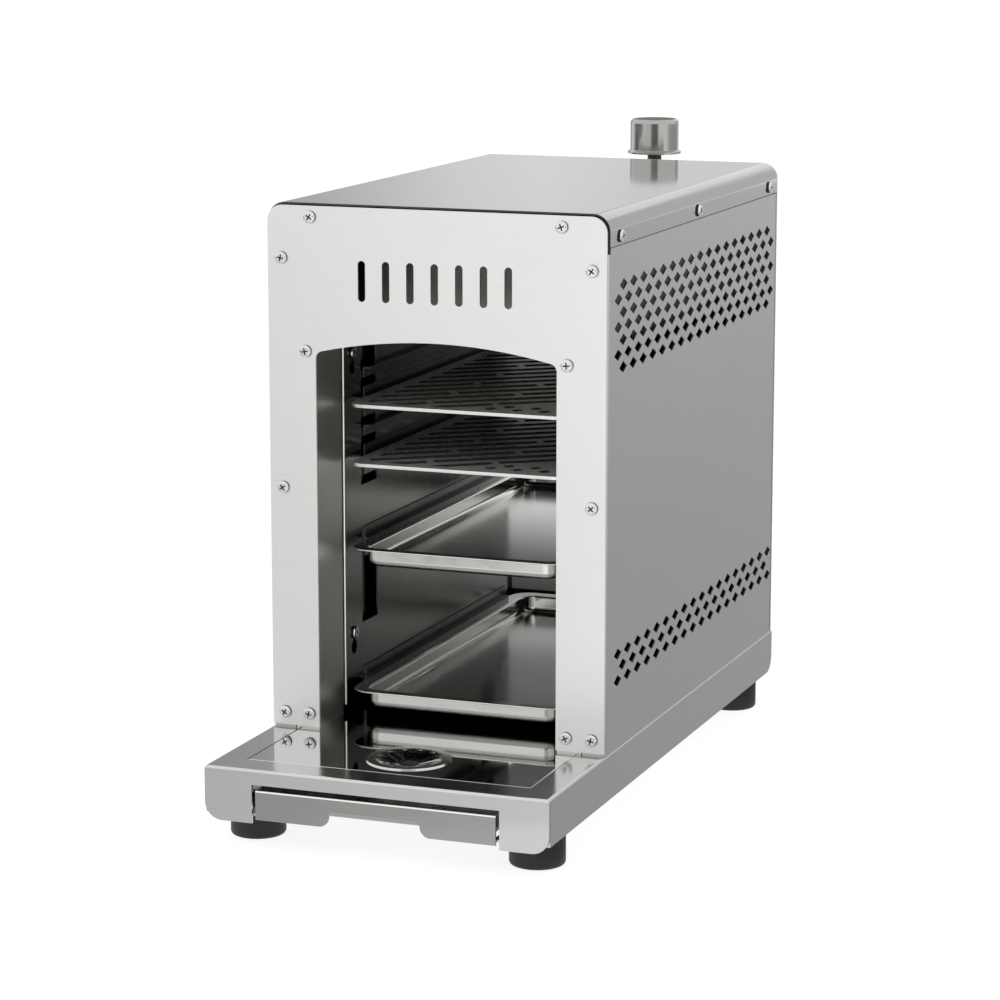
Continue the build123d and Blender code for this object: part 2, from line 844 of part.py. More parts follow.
def drawer_pan():
    """The drawer's pan, a pressed tray with a flat rim."""
    width = 2 * pan_half_width
    middle = (pan_rear + pan_front) / 2
    height = drawer_top - pan_bottom
    body = box(-pan_half_width, pan_half_width, pan_front, pan_rear, pan_bottom, drawer_top)
    body = fillet(edges_at(body, Axis.Z, pan_bottom), pan_bend)
    body += box(-pan_half_width - pan_rim, pan_half_width + pan_rim, pan_front, pan_rear, drawer_top - sheet_wall,
                drawer_top)
    room = Pos(0, middle, pan_bottom + sheet_wall + height / 2) * Box(width - 2 * sheet_wall,
                                                                   pan_length - 2 * sheet_wall, height)
    room = fillet(edges_at(room, Axis.Z, pan_bottom + sheet_wall), pan_bend - sheet_wall)
    return body - room


# Inside


def jamb():
    """The right jamb: a folded strip beside the window, from the front plate to the rack."""
    front_y = plate_wall
    piece = box(jamb_x, jamb_x + sheet_wall, front_y, jamb_rear, base_top, liner_top)
    piece += box(jamb_x, half_width - flange_width - seam, front_y, front_y + sheet_wall, base_top, liner_top)
    piece += box(jamb_x, liner_x - seam, jamb_rear - sheet_wall, jamb_rear, base_top, liner_top)
    for x, z in front_screws:
        if x < half_width - flange_width and z < liner_top:
            piece -= rod_y(screw_hole_radius, x, front_y - past, front_y + sheet_wall + past, z)
    return piece


def liner():
    """The right inner wall, with folded edges on its outer side."""
    x0, x1 = liner_x, liner_x + sheet_wall
    flange = x1 + liner_flange
    flange_front = liner_front + liner_flange_setback
    wall = box(x0, x1, liner_front, liner_rear + sheet_wall, base_top, liner_top)
    wall += box(x1, flange, flange_front, liner_rear, base_top, base_top + sheet_wall)
    wall += box(x1, half_width - sheet_wall - 2 * seam, flange_front, liner_rear, liner_top - sheet_wall,
                liner_top)
    for y in pin_ys:
        for z in pin_zs:
            wall -= rod_x(screw_hole_radius, x0 - past, x1 + past, y, z)
    return wall


def rear_liner():
    """The rear inner wall, whose air slots line up with the rear panel's lower row."""
    wall = box(-liner_x, liner_x, liner_rear, liner_rear + sheet_wall, base_top, liner_top)
    y0, y1 = liner_rear - past, liner_rear + sheet_wall + past
    for slot in vent_slots(y0, y1, rear_vent_heights[0]):
        wall -= slot
    wall -= rod_y(tube_radius + seam, 0, y0, y1, tube_z)
    wall -= rod_y(electrode_radius + fit_gap, igniter_x, y0, y1, electrode_z)
    wall -= rod_y(couple_radius + fit_gap, couple_x, y0, y1, electrode_z)
    return wall


def heat_shield():
    """The roof over the burner, between the cover and the fire."""
    reach = half_width - sheet_wall - 2 * seam
    return box(-reach, reach, liner_front, liner_rear + sheet_wall, liner_top, liner_top + sheet_wall)


def rack():
    """The right rack: a lift-out sheet with windows, keyholes and a rounded front fold."""
    x0, x1 = jamb_x, jamb_x + sheet_wall
    sheet = box(x0, x1, rack_front, rack_rear, rack_bottom, rack_top)
    fold_reach = liner_x - seam
    for y0, y1 in ((rack_front, rack_front + sheet_wall), (rack_rear - sheet_wall, rack_rear)):
        sheet += box(x0, fold_reach, y0, y1, rack_bottom, rack_top)
    folds = [edge for edge in sheet.edges().filter_by(Axis.Z)
             if abs(edge.center().X - x0) < 0.01 and min(abs(edge.center().Y - rack_front),
                                                         abs(edge.center().Y - rack_rear)) < 0.01]
    sheet = fillet(folds, sheet_wall)
    for y in (rack_front + rack_window_inset, rack_rear - rack_window_inset - rack_window):
        sheet -= box(x0 - past, x1 + past, y, y + rack_window, rack_window_top - rack_window_height,
                     rack_window_top)
        sheet -= box(x0 - past, x1 + past, y, y + rack_window, rack_low_window_bottom, rack_low_window_top)
    for y in pin_ys:
        for z in pin_zs:
            low = z - keyhole_drop
            sheet -= rod_x(screw_hole_radius, x0 - past, x1 + past, y, z)
            sheet -= box(x0 - past, x1 + past, y - screw_hole_radius, y + screw_hole_radius, low, z)
            sheet -= rod_x(keyhole_radius, x0 - past, x1 + past, y, low)
    return sheet


def shelf_height(top, wall):
    """The height of the shelf's upper face under a sheet whose upper face is at top."""
    return top - wall - fit_gap


def rail_pair(shelf_top):
    """An angle that carries one grate or tray, on the right rack's inner face."""
    web_top = shelf_top + web_above_shelf
    web_bottom = max(web_top - web_height, rack_bottom)
    web = box(jamb_x - sheet_wall, jamb_x, rail_front, rail_rear, web_bottom, web_top)
    return web + box(jamb_x - shelf_reach, jamb_x - sheet_wall, rail_front, rail_rear, shelf_top - sheet_wall,
                     shelf_top)


def guide_rail(shelf_top):
    """The narrow angle above a grate, which keeps it from tipping when it is drawn out."""
    bottom = shelf_top + guide_above
    top = bottom + guide_height
    web = box(jamb_x - sheet_wall, jamb_x, rail_front, rail_rear, bottom, top)
    return web + box(jamb_x - guide_reach, jamb_x - sheet_wall, rail_front, rail_rear, top - sheet_wall, top)


def rack_rails():
    rails = []
    for top in grate_tops.values():
        shelf_top = shelf_height(top, grate_wall)
        rails += [rail_pair(shelf_top), guide_rail(shelf_top)]
    rails += [rail_pair(shelf_height(top, thin_wall)) for top in tray_tops.values()]
    return rails


def rack_pins():
    """Pins through the inner wall that hold the rack by its keyholes, on the right side."""
    length = liner_x + sheet_wall + pin_past_liner - jamb_x
    pins = []
    for y in pin_ys:
        for z in pin_zs:
            pins.append(Pos(jamb_x, y, z) * FACING["left"] * Rot(0, 0, 30) * pan_screw(length))
    return pins


# Grates and trays


def grate_slots(field):
    """The slanting slots, cut to the field, with their staggered bridges left out."""
    slope = math.tan(math.radians(bar_angle))
    inner_width = grate_width - 2 * grate_border
    step = bar_pitch / math.cos(math.radians(bar_angle))
    first = grate_front + bar_start - inner_width / 2 * slope
    count = int((grate_length + 2 * inner_width * slope) / step) + 1
    pieces = []
    for number in range(-3, count):
        centre_y = first + number * step
        slot = Pos(0, centre_y) * Rot(0, 0, bar_angle) * Rectangle(2 * grate_width, slot_width)
        for column in range(-1, 3):
            if (column + number) % 2 == 0:
                x = bridge_start + column * bridge_pitch
                bridge = Rectangle(bridge_width, slot_width + 2 * past)
                slot -= Pos(x, centre_y + x * slope) * Rot(0, 0, bar_angle) * bridge
        pieces += (slot & field).faces()
    return [piece for piece in pieces if piece.area > smallest_slot_area]


def grate_lozenges():
    """Two rows of small lozenges at the grate's front right."""
    hole = Rot(0, 0, 45) * Rectangle(grate_hole, grate_hole)
    reach = grate_width / 2 - grate_border - grate_hole_margin
    holes = []
    for row in range(2):
        for column in range(3):
            x = grate_hole_x + (column + row / 2) * grate_hole_pitch_x
            if x < reach:
                holes.append(Pos(x, grate_front + grate_hole_y + row * grate_hole_pitch_y) * hole)
    return holes


def grate_face():
    """The grate's outline, its slanting slots with staggered bridges and its small lozenges."""
    middle = Pos(0, grate_front + grate_length / 2)
    face = middle * RectangleRounded(grate_width, grate_length, grate_corner)
    field = middle * Rectangle(grate_width - 2 * grate_border, grate_length - 2 * grate_border)
    slope = math.tan(math.radians(bar_angle))
    left, right = lozenge_field_x, grate_width / 2 - grate_border + past
    front = grate_front + grate_border - past
    rear = grate_front + lozenge_field_length
    field -= make_face(Polyline((left, front), (right, front), (right, rear + (right - lozenge_field_edge_x) * slope),
                                (left, rear + (left - lozenge_field_edge_x) * slope), close=True))
    for slot in grate_slots(field):
        face -= Sketch(slot.wrapped)
    for hole in grate_lozenges():
        face -= hole
    return face


def grate(top):
    return Pos(0, 0, top - grate_wall) * extrude(grate_face(), grate_wall)


def tray(top):
    """A pressed tray with a flat rim, rounded corners and a rounded bottom edge."""
    middle = tray_front + tray_length / 2
    width = tray_width - 2 * tray_rim_width
    length = tray_length - 2 * tray_rim_width
    body = extrude(RectangleRounded(width, length, tray_corner), tray_depth)
    body = fillet(edges_at(body, Axis.Z, 0), tray_bottom_round)
    room = Pos(0, 0, thin_wall) * extrude(RectangleRounded(width - 2 * thin_wall, length - 2 * thin_wall,
                                                           tray_corner - thin_wall), tray_depth)
    room = fillet(edges_at(room, Axis.Z, thin_wall), tray_bottom_round - thin_wall)
    rim = Pos(0, 0, tray_depth - thin_wall) * extrude(RectangleRounded(tray_width, tray_length, tray_rim_corner),
                                                      thin_wall)
    pressed = body + rim - room
    pressed = fillet(edges_within(pressed, tray_depth, width / 2, length / 2), tray_rim_round)
    under = edges_within(pressed, tray_depth - thin_wall, width / 2 + fit_gap, length / 2 + fit_gap)
    pressed = fillet(under, tray_rim_round - thin_wall)
    return Pos(0, middle, top - tray_depth) * pressed


# Burner


def burner_housing():
    """The burner's gas box, open below, with a hole for the mixing tube."""
    x = burner_half_width
    body = box(-x, x, burner_front, burner_rear, burner_bottom, burner_top)
    body = fillet(edges_at(body, Axis.Z, burner_top), burner_round)
    body -= box(-x + sheet_wall, x - sheet_wall, burner_front + sheet_wall, burner_rear - sheet_wall,
                burner_bottom - past, burner_top - sheet_wall)
    return body - rod_y(tube_radius + tube_fit, 0, burner_rear - 2 * sheet_wall, burner_rear + past, tube_z)


def burner_tiles():
    tile = box(-tile_width / 2, tile_width / 2, 0, tile_length, burner_bottom, burner_bottom + tile_height)
    tile = chamfer(edges_at(tile, Axis.Z, burner_bottom), tile_chamfer)
    return [Pos(0, tile_start + count * (tile_length + tile_gap), 0) * tile for count in range(tile_count)]


def burner_frame():
    """The frame under the burner box that holds the tiles by their edges."""
    x = burner_half_width + frame_rim
    window_x = tile_width / 2 - frame_hold
    frame = box(-x, x, burner_front - frame_rim, burner_rear + frame_rim, burner_bottom - sheet_wall, burner_bottom)
    return frame - box(-window_x, window_x, tile_start + frame_hold, tile_end - frame_hold,
                       burner_bottom - sheet_wall - past, burner_bottom + past)


def burner_hangers():
    """Two folded straps that hang the burner box under the heat shield."""
    hangers = []
    for y in (burner_front + hanger_inset, burner_rear - hanger_inset):
        y0, y1 = y - hanger_length / 2, y + hanger_length / 2
        x = hanger_half_width
        strap = box(-x, x, y0, y1, burner_top, burner_top + sheet_wall)
        for side in both_sides(box(x - sheet_wall, x, y0, y1, burner_top, liner_top)):
            strap += side
        for side in both_sides(box(x, x + hanger_foot, y0, y1, liner_top - sheet_wall, liner_top)):
            strap += side
        hangers.append(strap)
    return hangers


def mixing_tube():
    """The tube that draws in air round the injector and feeds the burner box."""
    end_wall = tube_rear - bracket_wall
    tube = rod_y(tube_radius, 0, tube_front, tube_rear, tube_z)
    tube -= rod_y(tube_radius - sheet_wall, 0, tube_front - past, end_wall, tube_z)
    tube -= rod_y(outlet_radius + outlet_fit, 0, end_wall - past, tube_rear + past, tube_z)
    slot_rear = end_wall - air_slot_margin
    slot = box(-air_slot_width / 2, air_slot_width / 2, slot_rear - air_slot_length, slot_rear, 0, 2 * tube_radius)
    for angle in (45, 135, 225, 315):
        tube -= Pos(0, 0, tube_z) * Rot(0, angle, 0) * slot
    return tube


def injector():
    y0, y1 = outlet_end - injector_length, outlet_end
    body = rod_y(injector_radius, 0, y0, y1, tube_z)
    return body - rod_y(injector_bore, 0, y0 - past, y1 + past, tube_z)


# Valve


def bracket_screw_places():
    x = bracket_half_width - bracket_screw_inset
    heights = (bracket_bottom + bracket_screw_inset, bracket_top - bracket_screw_drop)
    return [(side * x, z) for side in (-1, 1) for z in heights]


def valve_bracket():
    """A folded bracket on the rear panel: back plate, shelf and two sloping cheeks."""
    x = bracket_half_width
    y0, y1 = case_depth, case_depth + bracket_wall
    shelf_bottom = bracket_top - bracket_wall
    bracket = box(-x, x, y0, y1, bracket_bottom, bracket_top)
    bracket += box(-x, x, y0, bracket_rear, shelf_bottom, bracket_top)
    cheek = make_face(Polyline((y0, bracket_top), (bracket_rear, bracket_top),
                               (bracket_rear, bracket_top - bracket_lip), (y0 + cheek_foot, bracket_bottom),
                               (y0, bracket_bottom), close=True))
    for side in both_sides(sideways(cheek, x - bracket_wall, bracket_wall)):
        bracket += side
    bracket -= rod_z(neck_radius + hole_gap, 0, valve_y, shelf_bottom - past, bracket_top + past)
    bracket -= rod_z(igniter_radius + hole_gap, igniter_x, valve_y, shelf_bottom - past, bracket_top + past)
    bracket -= rod_y(tube_radius + seam, 0, y0 - past, y1 + past, tube_z)
    bracket -= box(igniter_x - electrode_slot_half_width, igniter_x + electrode_slot_half_width, y0 - past,
                   y1 + past, bracket_bottom - past, electrode_z + electrode_slot_above)
    for x, z in bracket_screw_places():
        bracket -= rod_y(screw_hole_radius, x, y0 - past, y1 + past, z)
    return bracket


def bracket_screws():
    y = case_depth + bracket_wall
    return [screw_at(x, y, z, "rear", length=bracket_screw_length) for x, z in bracket_screw_places()]


def valve_body():
    """The valve's block with its neck, its outlet spigot and the bore for the stem."""
    top = bracket_top - bracket_wall
    body = box(-valve_half_width, valve_half_width, valve_front, valve_rear, valve_bottom, top)
    body = fillet(body.edges().filter_by(Axis.Z), valve_round)
    body += rod_z(neck_radius, 0, valve_y, top, neck_top)
    body += rod_y(outlet_radius, 0, outlet_end, valve_front, tube_z)
    body += rod_x(port_radius, -valve_half_width - port_length, -valve_half_width, valve_y, port_z)
    body -= rod_z(stem_radius + stem_fit, 0, valve_y, stem_bottom - push_travel - past, neck_top + past)
    body -= rod_y(valve_bore, 0, outlet_end - past, valve_front + valve_bore_depth, tube_z)
    return body


def gas_inlet():
    """The threaded nipple for the hose, with its hexagon against the valve."""
    hexagon = extrude(RegularPolygon(inlet_hex_across / 2, 6, major_radius=False), inlet_hex_length)
    piece = Pos(0, valve_rear + inlet_hex_length, inlet_z) * Rot(90, 0, 0) * hexagon
    piece += rod_y(inlet_radius, 0, valve_rear + inlet_hex_length, inlet_rear, inlet_z)
    return piece - rod_y(inlet_bore, 0, valve_rear - past, inlet_rear + past, inlet_z)


def stem_collar():
    """The ring under the knob that the spring pushes up."""
    top = collar_bottom + collar_height
    ring = rod_z(collar_radius, 0, valve_y, collar_bottom, top)
    return ring - rod_z(stem_radius + stem_fit, 0, valve_y, collar_bottom - past, top + past)


def stem_spring():
    """The coil spring between the valve's neck and the collar, as one unbroken wire."""
    low = neck_top + fit_gap + spring_wire / 2
    high = collar_bottom - fit_gap - spring_wire / 2
    pitch = (high - low) / spring_turns
    print("spring: least gap between turns", round(pitch - spring_wire, 2))
    path = Helix(pitch=pitch, height=high - low, radius=spring_radius)
    section = Plane(origin=path @ 0, z_dir=path % 0) * Circle(spring_wire / 2)
    return Pos(0, valve_y, low) * sweep(section, path)


def valve_stem():
    return rod_z(stem_radius, 0, valve_y, stem_bottom, hub_top - hub_disc_height)


def knob_hub():
    """The dark moulded hub inside the knob, from the stem to the spun cap."""
    disc_bottom = hub_top - hub_disc_height
    hub = rod_z(hub_radius, 0, valve_y, hub_bottom, hub_top)
    hub += rod_z(knob_radius - knob_wall - hub_fit - knob_round, 0, valve_y, disc_bottom, hub_top)
    return hub - rod_z(stem_radius + hub_bore_fit, 0, valve_y, hub_bottom - past, disc_bottom)


def knob_cap():
    """The spun steel cap with its flared lower lip."""
    outer = knob_radius
    lip = knob_lip_radius
    low = knob_lip_bottom
    high = knob_top
    inner = outer - knob_wall
    profile = Polyline((0, high), (outer, high), (outer, low + knob_lip_height), (lip, low + knob_lip_edge),
                       (lip, low), (lip - knob_wall, low), (inner, low + knob_lip_height), (inner, high - knob_wall),
                       (0, high - knob_wall), close=True)
    cap = revolve(Plane.XZ * make_face(profile), Axis.Z)
    rim = [edge for edge in edges_at(cap, Axis.Z, high) if edge.length > math.pi * outer]
    cap = fillet(rim, knob_round)
    inside = [edge for edge in edges_at(cap, Axis.Z, high - knob_wall) if edge.length > math.pi * inner]
    cap = fillet(inside, knob_round - knob_wall)
    return Pos(0, valve_y, 0) * cap


# Ignition


def igniter_body():
    """The push igniter's barrel, hung in the bracket's shelf."""
    shelf_bottom = bracket_top - bracket_wall
    barrel = rod_z(igniter_radius, 0, 0, igniter_bottom, igniter_rim_top)
    barrel += rod_z(terminal_radius, 0, 0, igniter_bottom - terminal_length, igniter_bottom)
    barrel += rod_z(igniter_radius + igniter_flange, 0, 0, shelf_bottom - igniter_flange_height, shelf_bottom)
    barrel -= rod_z(button_radius + fit_gap, 0, 0, button_bottom - button_travel - past, igniter_rim_top + past)
    return Pos(igniter_x, valve_y, 0) * barrel


def igniter_nut():
    nut = extrude(RegularPolygon(igniter_nut_across / 2, 6, major_radius=False), igniter_nut_height)
    nut -= rod_z(igniter_radius + thread_gap, 0, 0, -past, igniter_nut_height + past)
    return Pos(igniter_x, valve_y, bracket_top) * nut


def igniter_button():
    button = rod_z(button_radius, igniter_x, valve_y, button_bottom, button_top)
    return fillet(edges_at(button, Axis.Z, button_top), button_round)


def electrode_insulator():
    rod = rod_y(electrode_radius, igniter_x, electrode_front, electrode_rear, electrode_z)
    bore = electrode_pin_radius + electrode_pin_fit
    return rod - rod_y(bore, igniter_x, electrode_front - past, electrode_rear + past, electrode_z)


def electrode_pin():
    return rod_y(electrode_pin_radius, igniter_x, electrode_tip, electrode_rear + electrode_pin_tail, electrode_z)


def bent_rod(points, radius, start_direction):
    """A round wire along straight runs joined by arcs as large as the runs allow."""
    radii = []
    for before, corner, after in zip(points, points[1:], points[2:]):
        run_in = Vector(*corner) - Vector(*before)
        run_out = Vector(*after) - Vector(*corner)
        turn = math.radians(run_in.get_angle(run_out))
        radii.append(0.45 * min(run_in.length, run_out.length) / math.tan(turn / 2))
    print("bend radii", [round(value, 1) for value in radii])
    path = FilletPolyline(*points, radius=radii)
    section = Plane(origin=points[0], z_dir=start_direction) * Circle(radius)
    return sweep(section, path)


def ignition_lead():
    """The lead from the electrode's end up to the igniter's terminal."""
    start = electrode_rear + electrode_pin_tail
    end_z = igniter_bottom - terminal_length
    points = [(igniter_x, start, electrode_z), (igniter_x, valve_y, electrode_z), (igniter_x, valve_y, end_z)]
    return bent_rod(points, lead_radius, (0, 1, 0))


def thermocouple():
    """The flame sensor's tube, from under the burner's rear edge to the valve's side."""
    end_x = -valve_half_width - port_length
    points = [(couple_x, couple_front, electrode_z), (couple_x, valve_y, electrode_z), (couple_x, valve_y, port_z),
              (end_x, valve_y, port_z)]
    return bent_rod(points, couple_radius, (0, 1, 0))


PIECES = {
    "front_plate": front_plate,
    "front_plate_screws": front_plate_screws,
    "top_cover": top_cover,
    "cover_screws": cover_screws,
    "front_rail": front_rail,
    "rear_panel": rear_panel,
    "rear_panel_screws": rear_panel_screws,
    "base_pan": base_pan,
    "base_screws": base_screws,
    "drip_plate": drip_plate,
    "drain_strainer": drain_strainer,
    "drawer_runners": drawer_runners,
    "feet": feet,
    "foot_screws": foot_screws,
    "foot_nuts": foot_nuts,
    "drawer_front": drawer_front,
    "drawer_pan": drawer_pan,
    "rear_liner": rear_liner,
    "heat_shield": heat_shield,
    "burner_housing": burner_housing,
    "burner_tiles": burner_tiles,
    "burner_frame": burner_frame,
    "burner_hangers": burner_hangers,
    "mixing_tube": mixing_tube,
    "injector": injector,
    "valve_bracket": valve_bracket,
    "bracket_screws": bracket_screws,
    "valve_body": valve_body,
    "gas_inlet": gas_inlet,
    "stem_collar": stem_collar,
    "stem_spring": stem_spring,
    "valve_stem": valve_stem,
    "knob_hub": knob_hub,
    "knob_cap": knob_cap,
    "igniter_body": igniter_body,
    "igniter_nut": igniter_nut,
    "igniter_button": igniter_button,
    "electrode_insulator": electrode_insulator,
    "electrode_pin": electrode_pin,
    "ignition_lead": ignition_lead,
    "thermocouple": thermocouple,
}

os.makedirs("parts", exist_ok=True)

for name, make in PIECES.items():
    save(name, make())

for name, make in {"side_panel": side_panel, "jamb": jamb, "liner": liner, "rack": rack}.items():
    right, left = both_sides(make())
    save(f"right_{name}", right)
    save(f"left_{name}", left)

rails = rack_rails()
save("right_rack_rails", rails)
save("left_rack_rails", [mirror(rail, about=Plane.YZ) for rail in rails])

pins = rack_pins()
save("rack_pins", pins + [mirror(pin, about=Plane.YZ) for pin in pins])

for name, top in grate_tops.items():
    save(name, grate(top))

for name, top in tray_tops.items():
    save(name, tray(top))
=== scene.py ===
"""Dresses the overhead gas grill.

It gives every piece its finish, rounds the sheets' cut edges, winds the gas inlet's thread and sets up the
stage. Lengths are in metres.
"""

import json
import math

import bmesh
import bpy
from bpy.props import FloatProperty, FloatVectorProperty, PointerProperty
from bpy.types import Operator, Panel, PropertyGroup
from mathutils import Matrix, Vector

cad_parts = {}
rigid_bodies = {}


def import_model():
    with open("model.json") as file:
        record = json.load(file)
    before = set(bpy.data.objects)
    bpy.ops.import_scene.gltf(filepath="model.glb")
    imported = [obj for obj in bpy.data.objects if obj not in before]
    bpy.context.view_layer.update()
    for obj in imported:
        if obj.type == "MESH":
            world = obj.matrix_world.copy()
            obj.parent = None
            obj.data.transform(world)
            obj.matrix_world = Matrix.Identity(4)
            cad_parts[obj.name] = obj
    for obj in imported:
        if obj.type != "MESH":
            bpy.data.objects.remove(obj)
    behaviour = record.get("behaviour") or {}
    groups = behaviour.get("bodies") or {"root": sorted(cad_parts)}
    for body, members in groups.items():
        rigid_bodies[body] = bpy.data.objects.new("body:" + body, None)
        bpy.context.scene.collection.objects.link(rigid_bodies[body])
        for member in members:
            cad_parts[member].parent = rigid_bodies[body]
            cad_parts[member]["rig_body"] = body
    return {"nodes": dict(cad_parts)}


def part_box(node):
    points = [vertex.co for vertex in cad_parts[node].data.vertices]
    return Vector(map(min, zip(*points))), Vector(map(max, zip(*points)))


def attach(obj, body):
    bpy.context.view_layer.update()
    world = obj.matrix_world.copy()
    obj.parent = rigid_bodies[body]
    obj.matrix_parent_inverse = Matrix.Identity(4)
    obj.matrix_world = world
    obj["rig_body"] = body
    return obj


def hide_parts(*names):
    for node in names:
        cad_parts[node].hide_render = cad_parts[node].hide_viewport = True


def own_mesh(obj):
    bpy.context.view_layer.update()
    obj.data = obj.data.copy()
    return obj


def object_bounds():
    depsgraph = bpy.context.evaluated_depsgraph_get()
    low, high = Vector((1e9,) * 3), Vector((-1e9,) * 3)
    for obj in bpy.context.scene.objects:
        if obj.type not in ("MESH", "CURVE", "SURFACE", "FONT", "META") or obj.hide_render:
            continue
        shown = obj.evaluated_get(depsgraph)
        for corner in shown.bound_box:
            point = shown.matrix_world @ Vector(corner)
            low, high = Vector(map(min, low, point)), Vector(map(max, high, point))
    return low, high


bl_info = {
    "name": "Overhead Gas Grill",
    "version": (1, 0, 0),
    "blender": (4, 5, 0),
    "location": "3D View > Sidebar > Grill",
    "description": "Finishes, rounded edges, fittings and a stage for a countertop gas grill",
    "category": "Object",
}

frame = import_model()
NODES = frame["nodes"]
CAD_BOX = [list(corner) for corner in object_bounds()]

SIDES = ("right", "left")

# How deep under a piece's outermost face another one may lie and still count as part of it
SKIN = 0.0001

# How far the painted highlights on folds, seams and lips, and the seams' wider rounding, reach in from a
# piece's edge
BASE_FOLD = 0.002
SEAM_REACH = 0.0015
DRAWER_LIP = 0.004
RACK_FOLD = 0.0012

# Cleaning and rounding of a CAD piece's copy, with angles in degrees
MERGE_DISTANCE = 0.000004
FLAT_ANGLE = 0.5
SHARP_ANGLE = 35
SMOOTH_ANGLE = 40

# Scales of the steel's grain: small along the brushing and large across it
GRAIN_ALONG_X = (14, 900, 900)
GRAIN_UPRIGHT = (300, 300, 12)
GRAIN_EVEN = (200, 200, 200)

# Knob
KNOB_LOW, KNOB_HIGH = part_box("knob_cap")

# Grates
GRATE_CORNER = 0.011
GRATE_RIM = 0.0009

# Screw heads: their height, and the outer band and cross recess that get painted shade
HEAD_HEIGHT = 0.0024
HEAD_BAND_START = 0.0036
HEAD_BAND_DEPTH = 0.0012
RECESS_REACH = 0.0024
RECESS_DEPTH = 0.0009

# Screws and pins with a cross recess, and where their heads face right of the middle
CROSS_HEADS = (
    ("front_plate_screws", (0, -1, 0)),
    ("cover_screws", (1, 0, 0)),
    ("rear_panel_screws", (0, 1, 0)),
    ("rack_pins", (-1, 0, 0)),
)

# Gas inlet's thread
THREAD_CREST = 0.00655
THREAD_ROOT = 0.0058
THREAD_PITCH = 0.001337
THREAD_TURNS = 12
THREAD_TOOTH = 0.0006
THREAD_LEAD_IN = 0.0015
THREAD_STEPS = 32
NIPPLE_WALL = (0.006, 0.0067)

# Cards that lie on the floor
CARD_LIFT = 0.001
CARD_LEVEL = CAD_BOX[0][2] + CARD_LIFT

# Far cards: name, heading from the front in degrees, distance, width and depth, and shade
FAR_CARDS = (
    ("far_left_card", -66, 4.3, (4.2, 5.0), 0.04),
    ("far_right_card", 118, 5.1, (5.9, 3.4), 0.34),
)

# Shades from a rear card's lower edge to its upper one
FADING = ((0.0, 1.0), (0.35, 0.6), (0.7, 0.3), (1.0, 0.12))
BANDED = ((0.0, 0.24), (0.13, 0.36), (0.27, 0.33), (0.36, 0.17), (0.7, 0.15), (1.0, 0.10))
DARK = ((0.0, 0.20), (1.0, 0.20))

# Rear cards: the pieces below and above, the card's start over the first, its gap to the second, its shades
REAR_CARDS = (
    ("upper_tray", "lower_grate", -0.002, 0.004, FADING),
    ("lower_tray", "upper_tray", -0.002, 0.004, BANDED),
    ("upper_grate", "burner_frame", 0.001, 0.001, DARK),
    ("lower_grate", "upper_grate", 0.001, 0.001, DARK),
)
REAR_CARD_GAP = 0.004
REAR_CARD_MARGIN = 0.002


# Settings


class StageSettings(PropertyGroup):
    camera_place: FloatVectorProperty(
        name="Camera", description="Where the camera stands", size=3, unit="LENGTH",
        default=(0.767925, -2.121900, 0.608972))
    camera_pitch: FloatProperty(
        name="Pitch", description="How far the camera looks up", unit="ROTATION", default=-0.1900797)
    camera_yaw: FloatProperty(
        name="Yaw", description="How far the camera turns to the left", unit="ROTATION", default=0.3589292)
    lens: FloatProperty(
        name="Lens", description="Focal length in millimetres on a 36 mm sensor", unit="CAMERA",
        default=119.979)
    floor_size: FloatProperty(
        name="Floor", description="Side of the square floor", unit="LENGTH", default=14.0)
    floor_grey: FloatProperty(
        name="Floor grey", description="Share of the lamps' light that the floor throws back", default=0.3)
    floor_glow: FloatProperty(
        name="Floor glow", description="The floor's own light on the pieces", default=0.3)
    floor_white: FloatProperty(
        name="Floor white", description="The floor's own light to the camera and in mirrors", default=0.86)
    world_light: FloatProperty(
        name="Sky light", description="Strength of the even light from all around", default=0.62)
    key_power: FloatProperty(
        name="Key", description="Power of the large lamp on the left", unit="POWER", default=9.0)
    fill_power: FloatProperty(
        name="Fill", description="Power of the lamp on the right", unit="POWER", default=4.0)


class SteelSettings(PropertyGroup):
    # Painted light and shade: the front plate and the side and rear panels are one steel, painted lighter on
    # the front and darker on the panels for how light falls on them
    front: FloatVectorProperty(
        name="Front plate", description="Colour of the pale brushed front plate", subtype="COLOR",
        default=(0.86, 0.86, 0.85))
    case: FloatVectorProperty(
        name="Case", description="Colour of the satin side and rear panels", subtype="COLOR",
        default=(0.55, 0.555, 0.55))
    cover: FloatVectorProperty(
        name="Cover", description="Colour of the polished cover", subtype="COLOR",
        default=(0.50, 0.51, 0.515))
    base: FloatVectorProperty(
        name="Base", description="Colour of the polished base", subtype="COLOR",
        default=(0.56, 0.565, 0.55))
    drawer: FloatVectorProperty(
        name="Drawer", description="Colour of the satin drawer", subtype="COLOR",
        default=(0.34, 0.345, 0.33))
    drip: FloatVectorProperty(
        name="Drip plate", description="Colour of the mirror-like drip plate", subtype="COLOR",
        default=(0.60, 0.61, 0.60))
    inner: FloatVectorProperty(
        name="Inner walls", description="Colour of the walls around the fire", subtype="COLOR",
        default=(0.20, 0.20, 0.188))
    tray: FloatVectorProperty(
        name="Trays", description="Colour of the pressed trays", subtype="COLOR",
        default=(0.76, 0.76, 0.73))
    knob: FloatVectorProperty(
        name="Knob", description="Colour of the spun knob", subtype="COLOR",
        default=(0.44, 0.44, 0.42))
    edge_round: FloatProperty(
        name="Edge", description="How far cut sheet edges are rounded", unit="LENGTH", default=0.00028)
    plate_round: FloatProperty(
        name="Front plate's edge", description="How far the front plate's edges are rounded", unit="LENGTH",
        default=0.00045)
    fold_round: FloatProperty(
        name="Fold", description="How far the edges of the jambs and racks are rounded", unit="LENGTH",
        default=0.0005)
    seam_round: FloatProperty(
        name="Seam", description="How far the edges of the drip plate's seam are rounded", unit="LENGTH",
        default=0.0006)


